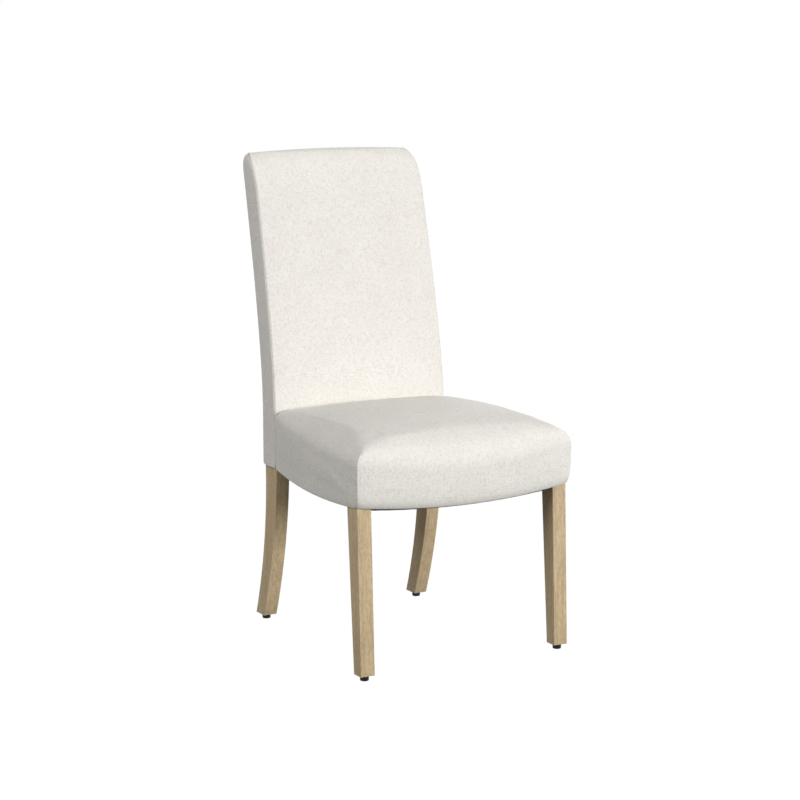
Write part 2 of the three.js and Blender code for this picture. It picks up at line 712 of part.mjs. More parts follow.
function addCorner({ end, leg, foot, outline, legSide, legOuter }, { name, sign, shape }) {
  const { place, length } = boltLine(outline, legSide, legOuter);
  const drill = moved(boltHole(length), place);
  const footPlace = new THREE.Matrix4().makeTranslation(foot);
  add(`${end}_leg_${name}`, shape(cut(leg, drill, moved(insertHole(), footPlace))), oak);
  const wedge = cut(plate(outline, blockTop - block.height, blockTop), drill);
  add(`corner_block_${end}_${name}`, shape(wedge), hardwood);
  add(`corner_bolt_${end}_${name}`, shape(moved(boltBody(length), place)), steel);
  add(`corner_washer_${end}_${name}`, shape(moved(washerBody(), place)), steel);
  const feet = new THREE.Group();
  feet.position.set(sign * foot.x, foot.y, 0);
  chair.add(feet);
  add(`foot_insert_${end}_${name}`, insertBody(), steel, feet);
  add(`foot_stem_${end}_${name}`, stemBody(), steel, feet);
  add(`foot_pad_${end}_${name}`, padBody(), blackPlastic, feet);
}

for (const side of sides) {
  for (const corner of corners) addCorner(corner, side);
  add(`${side.name}_seat_rail`, side.shape(sideRail()), hardwood);
  add(`back_side_cover_${side.name}`, side.shape(backSidePanel()), linen);
}

add('front_seat_rail', frontRail(), hardwood);
add('rear_seat_rail', rearSeatRail(), hardwood);
strapPlaces.forEach((y, i) => add(`seat_webbing_${i + 1}`, seatStrap(y), strapping));
add('seat_foam', seatFoam(), foam);
add('seat_wadding', seatWadding(), wadding);
add('seat_cover', seatCover(), linen);
add('dust_cover', dustCover(), cambric);

const crossRailBottoms = {
  lower: shoulder + backRail.lowerRise,
  middle: mix(shoulder, postTop, backRail.middleShare),
  top: postTop - backRail.topGap - backRail.height,
};
for (const [name, bottom] of Object.entries(crossRailBottoms)) {
  add(`back_${name}_rail`, backCrossRail(bottom, bottom + backRail.height), hardwood);
}
back.strapShares.forEach((share, i) =>
  add(`back_webbing_${i + 1}`, backStrap(mix(shoulder, postTop, share)), strapping));
add('back_board', backBoard(), fibreboard);
add('back_foam', backFoam(), foam);
add('back_front_cover', backFrontCover(), linen);
add('back_rear_cover', backRearCover(), linen);

const part = new THREE.Group();
part.add(chair);
const box = new THREE.Box3().setFromObject(part, true);
const centre = box.getCenter(point());
chair.position.set(-centre.x, -centre.y, -box.min.z);

export default part;
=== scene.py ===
import math
from contextlib import contextmanager

import bmesh
import bpy
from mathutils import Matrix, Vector


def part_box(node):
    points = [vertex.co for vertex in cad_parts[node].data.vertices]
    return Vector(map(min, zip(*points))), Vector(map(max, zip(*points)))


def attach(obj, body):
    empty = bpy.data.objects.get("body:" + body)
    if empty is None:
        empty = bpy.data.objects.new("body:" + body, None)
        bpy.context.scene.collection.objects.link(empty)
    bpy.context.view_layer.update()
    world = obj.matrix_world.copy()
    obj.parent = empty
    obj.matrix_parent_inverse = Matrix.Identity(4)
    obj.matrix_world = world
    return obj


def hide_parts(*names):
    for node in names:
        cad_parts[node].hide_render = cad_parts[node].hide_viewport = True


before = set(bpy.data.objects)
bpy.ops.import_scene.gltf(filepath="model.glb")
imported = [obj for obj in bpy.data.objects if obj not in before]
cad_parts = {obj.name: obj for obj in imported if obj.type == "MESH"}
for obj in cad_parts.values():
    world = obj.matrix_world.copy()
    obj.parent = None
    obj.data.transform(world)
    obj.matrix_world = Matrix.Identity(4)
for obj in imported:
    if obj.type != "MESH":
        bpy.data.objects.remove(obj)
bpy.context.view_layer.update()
scene = bpy.context.scene
print("frame loaded:", len(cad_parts), "nodes")

# Metres. +Z is up, the chair faces -Y and left is -X.

camera = {
    "place": (-2.2668, -3.9672, 1.2916), "target": (0.0001, -0.0159, 0.5029), "lens": 99.9, "sensor": 36,
}

bpy.ops.object.camera_add(location=camera["place"])
photoCamera = bpy.context.object
aim = Vector(camera["target"]) - Vector(camera["place"])
photoCamera.rotation_euler = aim.to_track_quat("-Z", "Y").to_euler()
photoCamera.data.lens = camera["lens"]
photoCamera.data.sensor_width = camera["sensor"]
scene.camera = photoCamera
print("camera placed")


# Small tools

mergeDistance = 1e-6
flatAngle = math.radians(0.5)
corners = [(end, side) for end in ("front", "rear") for side in ("left", "right")]


def mix(a, b, share):
    return a + (b - a) * share


def clamp(value, low=0.0, high=1.0):
    return max(low, min(high, value))


def smooth(low, high, value):  # from 0 at low to 1 at high, which may be the smaller one
    share = clamp((value - low) / (high - low))
    return share * share * (3 - 2 * share)


def belly(sag, share):  # full in the middle and nothing at both ends
    return sag * (1 - share * share)


def steps(start, end, count):
    return [mix(start, end, i / count) for i in range(count + 1)]


def arcSteps(count, turn=math.pi / 2):
    return steps(0, turn, count)


def deselectAll():
    if bpy.context.object and bpy.context.object.mode != "OBJECT":
        bpy.ops.object.mode_set(mode="OBJECT")
    bpy.ops.object.select_all(action="DESELECT")


def pick(piece):
    deselectAll()
    piece.select_set(True)
    bpy.context.view_layer.objects.active = piece


@contextmanager
def editing(piece):  # in edit mode, with everything selected
    pick(piece)
    bpy.ops.object.mode_set(mode="EDIT")
    bpy.ops.mesh.select_all(action="SELECT")
    yield
    bpy.ops.object.mode_set(mode="OBJECT")


def modify(piece, kind, **values):  # by one modifier, which is applied
    modifier = piece.modifiers.new(kind.lower(), kind)
    for label, value in values.items():
        setattr(modifier, label, value)
    pick(piece)
    bpy.ops.object.modifier_apply(modifier=modifier.name)


def settle(piece):  # the finished piece's place goes into its mesh
    pick(piece)
    bpy.ops.object.transform_apply(location=True, rotation=True, scale=True)


def cleanCopy(nodeName, pieceName):  # a merged copy of a frame node, with flat faces whole again
    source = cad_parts[nodeName]
    piece = source.copy()
    piece.data = source.data.copy()
    piece.parent = None
    for key in list(piece.keys()):
        del piece[key]
    piece.hide_render = False
    piece.hide_viewport = False
    scene.collection.objects.link(piece)
    piece.name = pieceName
    piece.data.materials.clear()
    with editing(piece):
        bpy.ops.mesh.remove_doubles(threshold=mergeDistance)
        bpy.ops.mesh.dissolve_limited(angle_limit=flatAngle)
    return piece


def addGrid(mesh, rows):  # faces between rows of points, equal in number
    points = [[mesh.verts.new(point) for point in row] for row in rows]
    for low, high in zip(points, points[1:]):
        for i in range(len(low) - 1):
            mesh.faces.new((low[i], low[i + 1], high[i + 1], high[i]))
    return points


def sheetFromRows(name, rows):
    mesh = bmesh.new()
    addGrid(mesh, rows)
    bmesh.ops.remove_doubles(mesh, verts=mesh.verts, dist=mergeDistance)
    return pieceFrom(name, mesh)


def pieceFrom(name, mesh):
    data = bpy.data.meshes.new(name)
    mesh.to_mesh(data)
    mesh.free()
    piece = bpy.data.objects.new(name, data)
    scene.collection.objects.link(piece)
    return piece


def dress(piece, finish, crease, body, *nodes):  # smooth up to a crease, with the finish as its material, on its body
    pick(piece)
    bpy.ops.object.shade_smooth_by_angle(angle=math.radians(crease))
    piece.data.materials.clear()
    piece.data.materials.append(finishes[finish])
    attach(piece, body)
    if nodes:
        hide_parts(*nodes)


# Materials

noiseSpan = (0.3, 0.7)  # where nearly all of a noise's values lie
noiseMiddle = (0.35, 0.65)  # where most of them lie


def groupTree(name, inputs, outputs):
    tree = bpy.data.node_groups.new(name, "ShaderNodeTree")
    for label, value in inputs.items():
        socket = tree.interface.new_socket(label, in_out="INPUT", socket_type="NodeSocketFloat")
        socket.default_value = value
    for label in outputs:
        tree.interface.new_socket(label, in_out="OUTPUT", socket_type="NodeSocketFloat")
    return tree, tree.nodes.new("NodeGroupInput").outputs, tree.nodes.new("NodeGroupOutput").inputs


def feed(tree, socket, value):
    if isinstance(value, bpy.types.NodeSocket):
        tree.links.new(value, socket)
    else:
        socket.default_value = value


def newNode(tree, kind, *values, **settings):  # with its settings, and its first inputs fed
    node = tree.nodes.new("ShaderNode" + kind)
    for label, value in settings.items():
        setattr(node, label, value)
    for socket, value in zip(node.inputs, values):
        feed(tree, socket, value)
    return node


def maths(tree, operation, *values):
    return newNode(tree, "Math", *values, operation=operation).outputs[0]


def between(tree, value, low, high, start=0.0, end=1.0):  # a soft step from start to end
    return newNode(tree, "MapRange", value, low, high, start, end, interpolation_type="SMOOTHSTEP").outputs[0]


def blendColour(tree, share, first, second):
    node = newNode(tree, "Mix", share, data_type="RGBA")
    for socket, value in zip(node.inputs[6:8], (first, second)):
        feed(tree, socket, value)
    return node.outputs[2]


def noise(tree, place, scale, detail=2.0, roughness=0.5):
    node = newNode(tree, "TexNoise", place)
    for label, value in (("Scale", scale), ("Detail", detail), ("Roughness", roughness)):
        feed(tree, node.inputs[label], value)
    return node.outputs["Fac"]


def stretched(tree, place, scales):
    node = newNode(tree, "Mapping", place)
    node.inputs["Scale"].default_value = scales
    return node.outputs["Vector"]


def wandering(tree, place, scale, reach):  # a place, shifted by a slow noise
    shift = maths(tree, "MULTIPLY", noise(tree, place, scale), reach)
    return newNode(tree, "VectorMath", place, shift).outputs[0]


def axes(tree, vector):
    return newNode(tree, "SeparateXYZ", vector).outputs


def objectPlace(tree):
    return newNode(tree, "TexCoord").outputs["Object"]


# Threads of a plain weave that run over every side of a piece, with thick and thin places in them.
threads = {
    "pitch": 0.001, "fine": 400, "long": 130, "detail": 1.5, "lightFrom": 0.56, "darkFrom": 0.44,
    "spread": 0.12, "wander": 0.00035, "wanderScale": 70.0, "facingPower": 4.0,
}


def threadGroup():
    tree, given, made = groupTree("woven threads", {"Pitch": threads["pitch"]}, ("Weave", "Light", "Dark"))
    source = newNode(tree, "TexCoord").outputs
    weights = [maths(tree, "POWER", maths(tree, "ABSOLUTE", axis), threads["facingPower"])
               for axis in axes(tree, source["Normal"])]
    total = maths(tree, "ADD", maths(tree, "ADD", weights[0], weights[1]), weights[2])
    side, front, top = [maths(tree, "DIVIDE", weight, total) for weight in weights]
    place = wandering(tree, source["Object"], threads["wanderScale"], threads["wander"])
    turns = maths(tree, "DIVIDE", math.pi, given["Pitch"])
    waves = [maths(tree, "SINE", maths(tree, "MULTIPLY", axis, turns)) for axis in axes(tree, place)]
    pairs = [(front, waves[0], waves[2]), (side, waves[1], waves[2]), (top, waves[0], waves[1])]
    crossings = [maths(tree, "MULTIPLY", weight, maths(tree, "MULTIPLY", a, b)) for weight, a, b in pairs]
    weave = maths(tree, "ADD", maths(tree, "ADD", crossings[0], crossings[1]), crossings[2])
    feed(tree, made["Weave"], weave)
    fine, long, spread = threads["fine"], threads["long"], threads["spread"]
    families = [((long, long, fine), top), ((fine, long, long), side), ((long, fine, long), front)]
    lights, darks = [], []
    for scales, facing in families:
        weight = maths(tree, "SUBTRACT", 1.0, facing)
        run = noise(tree, stretched(tree, source["Object"], scales), 1.0, threads["detail"])
        light = between(tree, run, threads["lightFrom"], threads["lightFrom"] + spread)
        dark = between(tree, run, threads["darkFrom"] - spread, threads["darkFrom"], 1.0, 0.0)
        lights.append(maths(tree, "MULTIPLY", light, weight))
        darks.append(maths(tree, "MULTIPLY", dark, weight))
    for label, masks in (("Light", lights), ("Dark", darks)):
        both = maths(tree, "MAXIMUM", masks[0], masks[1])
        feed(tree, made[label], maths(tree, "MAXIMUM", both, masks[2]))
    return tree


# Growth lines along Z: streaks of colour, fine fibres, pale ray flecks and short open pores. Each has its
# scales, its noise's detail and roughness, and the span of noise that its mask is made from.
grain = {
    "Streaks": ((160, 160, 9), 3.0, 0.55, noiseSpan),
    "Fibres": ((640, 640, 34), 2.0, 0.6, None),
    "Flecks": ((300, 300, 110), 1.0, 0.5, noiseMiddle),
    "Pores": ((1100, 1100, 80), 1.0, 0.5, (0.60, 0.72)),
}
grainWarp = {"scale": 9.0, "reach": 0.003}


def grainGroup():
    tree, given, made = groupTree("wood grain", {"Size": 1.0}, (*grain, "PaintedSideLight"))
    source = newNode(tree, "TexCoord").outputs
    place = wandering(tree, source["Object"], grainWarp["scale"], grainWarp["reach"])
    for label, (scales, detail, roughness, span) in grain.items():
        grown = noise(tree, stretched(tree, place, scales), given["Size"], detail, roughness)
        feed(tree, made[label], between(tree, grown, *span) if span else grown)
    facing = axes(tree, source["Normal"])  # painted side light: the faces to the sides are made paler by how far they face along X
    feed(tree, made["PaintedSideLight"], maths(tree, "ABSOLUTE", facing[0]))
    return tree


wovenThreads = threadGroup()
woodGrain = grainGroup()


def newMaterial(name, roughness, **constant):  # what is the same all over goes on the shader's own sockets
    material = bpy.data.materials.new(name)
    material.use_nodes = True
    shader = material.node_tree.nodes["Principled BSDF"]
    for label, value in {"Roughness": roughness, **constant}.items():
        shader.inputs[label].default_value = value
    return material, material.node_tree


def surfaced(material, shade, height, depth, roughness=None):  # with what changes over its surface
    tree = material.node_tree
    sockets = tree.nodes["Principled BSDF"].inputs
    feed(tree, sockets["Base Color"], shade)
    if roughness is not None:
        feed(tree, sockets["Roughness"], roughness)
    bump = newNode(tree, "Bump")
    bump.inputs["Distance"].default_value = depth
    feed(tree, bump.inputs["Height"], height)
    feed(tree, sockets["Normal"], bump.outputs["Normal"])
    return material


def useGroup(tree, group, **values):
    node = newNode(tree, "Group", node_tree=group)
    for label, value in values.items():
        feed(tree, node.inputs[label], value)
    return node.outputs


def layered(tree, shade, layers):  # one colour over the other, each by its mask
    for mask, tone in layers:
        shade = blendColour(tree, mask, shade, tone)
    return shade


def colour(red, green, blue):
    return (red, green, blue, 1.0)


linen = {
    "base": colour(0.83, 0.80, 0.75), "light": colour(0.90, 0.875, 0.83), "dark": colour(0.66, 0.63, 0.575),
    "lightShare": 0.5, "darkShare": 0.55, "pitch": 0.00095, "depth": 0.00022, "cloudScale": 14.0,
    "cloudDetail": 3.0, "cloudShare": 0.16, "valleyTop": 0.2, "valleyPaintedShade": 0.10, "roughness": 0.92,
    "valleyRoughness": 0.96, "crestRoughness": 0.86, "lightRise": 0.7, "weaveRise": 0.5, "darkRise": -0.4,
    "constant": {"Sheen Weight": 0.15, "Sheen Roughness": 0.5, "Specular IOR Level": 0.25},
}


def linenMaterial():
    material, tree = newMaterial("linen", linen["roughness"], **linen["constant"])
    woven = useGroup(tree, wovenThreads, Pitch=linen["pitch"])
    clouds = noise(tree, objectPlace(tree), linen["cloudScale"], linen["cloudDetail"])
    shade = layered(tree, linen["base"], [
        (between(tree, clouds, *noiseSpan, 0.0, linen["cloudShare"]), linen["dark"]),
        (maths(tree, "MULTIPLY", woven["Dark"], linen["darkShare"]), linen["dark"]),
        (maths(tree, "MULTIPLY", woven["Light"], linen["lightShare"]), linen["light"]),
        # painted shade: the weave's valleys are darkened towards the dark tone
        (between(tree, woven["Weave"], -1.0, linen["valleyTop"], linen["valleyPaintedShade"], 0.0), linen["dark"]),
    ])
    rough = between(tree, woven["Weave"], -1.0, 1.0, linen["valleyRoughness"], linen["crestRoughness"])
    height = maths(tree, "MULTIPLY", woven["Weave"], linen["weaveRise"])
    height = maths(tree, "MULTIPLY_ADD", woven["Light"], linen["lightRise"], height)
    height = maths(tree, "MULTIPLY_ADD", woven["Dark"], linen["darkRise"], height)
    return surfaced(material, shade, height, linen["depth"], rough)


wood = {
    "paleFibres": (0.5, 0.72), "paleShare": 0.5, "deepFibres": (0.28, 0.5), "deepShare": 0.55,
    "cloudScale": 22.0, "cloudSpan": (0.35, 0.7), "cloudShare": 0.3, "fleckShare": 0.4, "paintedSideLightShare": 0.15,
    "poreShare": 0.5, "fibreRise": 0.6, "poreRise": -1.0, "depth": 0.00018, "smoother": 0.06, "rougher": 0.08,
    "constant": {"Specular IOR Level": 0.3},
}


def woodMaterial(name, pale, deep, poreShade, roughness):
    material, tree = newMaterial(name, roughness, **wood["constant"])
    grown = useGroup(tree, woodGrain, Size=1.0)
    fibres, flecks, pores = grown["Fibres"], grown["Flecks"], grown["Pores"]
    clouds = noise(tree, objectPlace(tree), wood["cloudScale"])
    shade = layered(tree, deep, [
        (grown["Streaks"], pale),
        (between(tree, fibres, *wood["paleFibres"], 0.0, wood["paleShare"]), pale),
        (between(tree, fibres, *wood["deepFibres"], wood["deepShare"], 0.0), deep),
        (between(tree, clouds, *wood["cloudSpan"], 0.0, wood["cloudShare"]), deep),
        (between(tree, flecks, 0.0, 0.5, wood["fleckShare"], 0.0), deep),
        (between(tree, flecks, 0.5, 1.0, 0.0, wood["fleckShare"]), pale),
        # painted side light: the legs' faces to the sides are blended towards the pale tone
        (maths(tree, "MULTIPLY", grown["PaintedSideLight"], wood["paintedSideLightShare"]), pale),
        (maths(tree, "MULTIPLY", pores, wood["poreShare"]), poreShade),
    ])
    rough = between(tree, fibres, *noiseSpan, roughness - wood["smoother"], roughness + wood["rougher"])
    height = maths(tree, "MULTIPLY", fibres, wood["fibreRise"])
    height = maths(tree, "MULTIPLY_ADD", pores, wood["poreRise"], height)
    return surfaced(material, shade, height, wood["depth"], rough)


foam = {"roughness": 0.95, "detail": 3.0, "noiseRoughness": 0.7}


def foamMaterial(name, pale, deep, cell, depth):  # open cells or loose fibres
    material, tree = newMaterial(name, foam["roughness"])
    cells = noise(tree, objectPlace(tree), cell, foam["detail"], foam["noiseRoughness"])
    return surfaced(material, blendColour(tree, between(tree, cells, *noiseMiddle), deep, pale), cells, depth)


tape = {"roughness": 0.85, "paintedHighlightSpan": (-0.6, 0.8), "darkShare": 0.4}


def tapeMaterial(name, pitch, base, paintedHighlightShade, depth):  # webbing and dust cloth
    material, tree = newMaterial(name, tape["roughness"])
    woven = useGroup(tree, wovenThreads, Pitch=pitch)
    shade = layered(tree, base, [
        # painted highlight: the weave's raised threads are made paler than its valleys
        (between(tree, woven["Weave"], *tape["paintedHighlightSpan"]), paintedHighlightShade),
        (maths(tree, "MULTIPLY", woven["Dark"], tape["darkShare"]), base),
    ])
    return surfaced(material, shade, woven["Weave"], depth)


steel = {
    "deep": colour(0.50, 0.50, 0.49), "pale": colour(0.66, 0.67, 0.67), "cloudScale": 240.0,
    "cloudDetail": 4.0, "roughness": 0.32, "smoothest": 0.26, "roughest": 0.42, "grainScale": 1400.0,
    "depth": 0.00002,
}


def steelMaterial():
    material, tree = newMaterial("zinc steel", steel["roughness"], Metallic=1.0)
    clouds = noise(tree, objectPlace(tree), steel["cloudScale"], steel["cloudDetail"])
    zinc = blendColour(tree, between(tree, clouds, *noiseMiddle), steel["deep"], steel["pale"])
    rough = between(tree, clouds, *noiseSpan, steel["smoothest"], steel["roughest"])
    fine = noise(tree, objectPlace(tree), steel["grainScale"])
    return surfaced(material, zinc, fine, steel["depth"], rough)


plastic = {
    "deep": colour(0.003, 0.003, 0.0035), "pale": colour(0.008, 0.008, 0.0085), "scale": 900.0, "detail": 3.0,
    "roughness": 0.24, "smoothest": 0.17, "roughest": 0.28, "depth": 0.00003,
    "constant": {"Specular IOR Level": 0.22},
}


def blackPlasticMaterial():
    material, tree = newMaterial("black plastic", plastic["roughness"], **plastic["constant"])
    speckle = noise(tree, objectPlace(tree), plastic["scale"], plastic["detail"])
    shade = blendColour(tree, speckle, plastic["deep"], plastic["pale"])
    rough = between(tree, speckle, *noiseMiddle, plastic["smoothest"], plastic["roughest"])
    return surfaced(material, shade, speckle, plastic["depth"], rough)


board = {
    "deep": colour(0.16, 0.09, 0.045), "pale": colour(0.30, 0.18, 0.10), "scales": (500, 300, 420),
    "detail": 4.0, "noiseRoughness": 0.7, "roughness": 0.8, "depth": 0.0002,
}


def boardMaterial():
    material, tree = newMaterial("fibreboard", board["roughness"])
    place = stretched(tree, objectPlace(tree), board["scales"])
    fibres = noise(tree, place, 1.0, board["detail"], board["noiseRoughness"])
    shade = blendColour(tree, between(tree, fibres, *noiseSpan), board["deep"], board["pale"])
    return surfaced(material, shade, fibres, board["depth"])


oakShades = colour(0.63, 0.488, 0.303), colour(0.446, 0.333, 0.193), colour(0.298, 0.208, 0.109)
frameShades = colour(0.60, 0.44, 0.27), colour(0.42, 0.28, 0.16), colour(0.30, 0.19, 0.10)
foamShades = colour(0.86, 0.80, 0.55), colour(0.70, 0.62, 0.38)
waddingShades = colour(0.85, 0.85, 0.84), colour(0.68, 0.68, 0.67)
# the second colour of each tape is its painted highlight on the raised threads
webbingShades = colour(0.02, 0.02, 0.022), colour(0.07, 0.07, 0.075)
dustShades = colour(0.012, 0.012, 0.013), colour(0.035, 0.035, 0.037)
finishes = {
    "linen": linenMaterial(),
    "oak": woodMaterial("light oak", *oakShades, roughness=0.58),
    "frame_wood": woodMaterial("frame wood", *frameShades, roughness=0.75),
    "fibreboard": boardMaterial(),
    "foam": foamMaterial("foam", *foamShades, cell=900.0, depth=0.0006),
    "wadding": foamMaterial("wadding", *waddingShades, cell=260.0, depth=0.0015),
    "webbing": tapeMaterial("webbing", 0.0016, *webbingShades, depth=0.0005),
    "dust_cloth": tapeMaterial("dust cloth", 0.0008, *dustShades, depth=0.0002),
    "steel": steelMaterial(),
    "black_plastic": blackPlasticMaterial(),
}
print("materials made:", len(finishes))


# The frame's own nodes keep their shape. The first word that a node's name holds gives its finish.
nodeFinishes = {
    "block": "frame_wood", "rail": "frame_wood", "bolt": "steel", "washer": "steel", "insert": "steel",
    "stem": "steel", "pad": "black_plastic", "webbing": "webbing", "board": "fibreboard", "leg": "oak",
    "foam": "foam", "wadding": "wadding", "dust": "dust_cloth", "cover": "linen",
}
for nodeName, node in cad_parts.items():
    finish = next(value for key, value in nodeFinishes.items() if key in nodeName)
    for slot in node.material_slots:
        slot.material = finishes[finish]
print("frame nodes coated")

# Levels and faces that several pieces share, from the frame

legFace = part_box("rear_leg_left")[0].y  # front face of the rear legs at the seat
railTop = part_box("front_leg_left")[1].z
frontHalf = -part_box("front_leg_left")[0].x
rearHalf = -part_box("rear_leg_left")[0].x
rearLegWidth = 0.030
clothSlim = 0.0015  # how much the sewn back is slimmer than its solid
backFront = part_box("back_front_cover")[0].y + clothSlim
fit = 0.0003  # clearance between neighbouring pieces

# Seat form: crowned, with rolled edges, bowed sides and a lower edge that bellies and draws in

seat = {
    "bottom": 0.3475, "frontRimRise": 0.053, "rearRimRise": 0.049, "crown": 0.024,
    "sidePadding": 0.0085, "sideBow": 0.010, "frontBow": 0.022, "sideSag": 0.009, "frontSag": 0.013,
    "sideTuck": 0.005, "frontTuck": 0.011, "nearShare": 0.64, "nearFade": 0.008, "farFade": 0.030,
    "sideRoll": 0.070, "rearSideRoll": 0.034, "frontRoll": 0.075, "cornerRoll": 0.044, "rearRoll": 0.006,
    "sideStartShare": 0.66, "rearSideStartShare": 0.88, "frontStartShare": 0.555, "cornerStartShare": 0.65,
    "rearStartShare": 0.88, "rollStartShare": 0.62, "frontCrownPower": 1.5, "frontDip": 0.005, "dipPower": 4,
    "wallCorner": 60, "rearCorner": 160, "topCorner": 8, "rollBlend": 8,
    "sideAllowance": 0.005,  # cloth and padding outside the rear legs
    "press": 0.0009, "rearNotch": 0.005, "notchHeight": 0.007, "notchSharpness": 60,  # meeting the back
}
backHalf = rearHalf + seat["sideAllowance"]
seatRear = backFront + seat["press"]
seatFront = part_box("seat_cover")[0].y + seat["frontBow"]
seatFrontHalf = frontHalf + seat["sidePadding"]
seatHalfDepth = (seatRear - seatFront) / 2
rimFront = railTop + seat["frontRimRise"]
rimRear = railTop + seat["rearRimRise"]


# Across runs from -1 at the left to 1, ahead from -1 at the rear to 1, and rise up from 0 to 1.
def lowerEdge(across, ahead):
    return seat["bottom"] - belly(seat["frontSag"], across) * (1 + ahead) / 2 - belly(seat["sideSag"], ahead)


def seatPlace(across, ahead, rise, inset=0.0):
    forward = (1 + ahead) / 2
    half = mix(backHalf, seatFrontHalf, forward) + belly(seat["sideBow"], ahead) - inset
    bow = belly(seat["frontBow"], across) * forward * forward
    y = mix(seatRear - inset, seatFront + inset, forward) - bow
    bottom = lowerEdge(across, ahead) + inset
    lengthwise = max(0, belly(1, ahead)) ** (seat["frontCrownPower"] if ahead > 0 else 1)
    crown = seat["crown"] * belly(1, across) * lengthwise
    dip = belly(seat["frontDip"], across) * forward ** seat["dipPower"]
    top = mix(rimRear, rimFront, forward) + crown - inset - dip
    return Vector((across * half, y, mix(bottom, top, rise)))


def tuckShift(across, ahead, rise):  # the cloth is drawn in under the rails, most of all near its lower edge
    above = rise * (rimRear - seat["bottom"])
    near = seat["nearShare"] * math.exp(-above / seat["nearFade"])
    share = (near + (1 - seat["nearShare"]) * math.exp(-above / seat["farFade"])) * (1 + ahead) / 2
    atRear = max(0, -ahead) ** seat["notchSharpness"]
    notch = seat["rearNotch"] * math.exp(-above / seat["notchHeight"]) * atRear
    return Vector((-across * seat["sideTuck"] * share, seat["frontTuck"] * share - notch, 0))


def sideRoll(ahead):  # how far in, and from which share of the height, the side edge rolls over
    rearward = clamp((1 - ahead) / 2)
    width = mix(seat["sideRoll"], seat["rearSideRoll"], rearward)
    return width, mix(seat["sideStartShare"], seat["rearSideStartShare"], rearward ** 2)


def endRoll(across, ahead):  # the same for the front and rear edges
    if ahead < 0:
        return seat["rearRoll"], seat["rearStartShare"]
    middle = belly(1, clamp(across, -1, 1))
    width = mix(seat["cornerRoll"], seat["frontRoll"], middle)
    return width, mix(seat["cornerStartShare"], seat["frontStartShare"], middle)


def rollAt(across, ahead):  # the roll's width as a share of the half size, and its start as one of the height
    sideWeight, endWeight = abs(across) ** seat["rollBlend"], abs(ahead) ** seat["rollBlend"]
    side, end = sideRoll(ahead), endRoll(across, ahead)
    both = sideWeight + endWeight
    width = (side[0] / seatFrontHalf * sideWeight + end[0] / seatHalfDepth * endWeight) / both
    return width, (side[1] * sideWeight + end[1] * endWeight) / both


def cornerScale(across, ahead, sharpness):
    return (abs(across) ** sharpness + abs(ahead) ** sharpness) ** (-1 / sharpness)


seatSkin = {
    "spacing": 0.0094, "cornerOffsets": (0.0, 0.0009, 0.0018, 0.0027, 0.0036, 0.0046, 0.006, 0.0085, 0.0125),
    "rollSteps": 12, "wallSteps": 9, "lowSteps": 5, "lowShare": 0.16, "hemRadius": 0.0016, "hemSteps": 3,
    "flange": 0.024, "flangeSteps": 3, "inset": 0.0006,
}


def edgeShares(half):  # closer together near both ends
    fine = [1 - offset / half for offset in seatSkin["cornerOffsets"]]
    count = round(2 * fine[-1] * half / seatSkin["spacing"])
    return [-share for share in fine] + steps(-fine[-1], fine[-1], count)[1:-1] + fine[::-1]


# From the top of the roll down the wall and in under the rails: rise, share of the roll, sharpness and hem.
def seatRings():
    rings = []
    for angle in steps(math.pi / 2, 0, seatSkin["rollSteps"])[1:]:
        rise = mix(seat["rollStartShare"], 1, math.sin(angle))
        sharpness = mix(seat["wallCorner"], seat["topCorner"], math.sin(angle))
        rings.append((rise, 1 - math.cos(angle), sharpness, 0.0))
    walls = steps(seat["rollStartShare"], seatSkin["lowShare"], seatSkin["wallSteps"])[1:]
    height = rimRear - seat["bottom"]
    hemRise = seatSkin["hemRadius"] / height
    walls += steps(seatSkin["lowShare"], hemRise, seatSkin["lowSteps"])[1:]
    for rise in walls:
        rings.append((rise, 0.0, seat["wallCorner"], 0.0))
    for angle in arcSteps(seatSkin["hemSteps"])[1:]:
        rise = hemRise * (1 - math.sin(angle))
        inset = seatSkin["hemRadius"] * (1 - math.cos(angle))
        rings.append((rise, 0.0, seat["wallCorner"], inset))
    for inset in steps(seatSkin["hemRadius"], seatSkin["flange"], seatSkin["flangeSteps"])[1:]:
        rings.append((0.0, 0.0, seat["wallCorner"], inset))
    return rings


def ringRise(rise, across, ahead):  # moves a ring's height to where the edge starts to roll
    start, usual, low = rollAt(across, ahead)[1], seat["rollStartShare"], seatSkin["lowShare"]
    if rise >= usual:
        return mix(start, 1, (rise - usual) / (1 - usual))
    return mix(low, start, (rise - low) / (usual - low)) if rise > low else rise


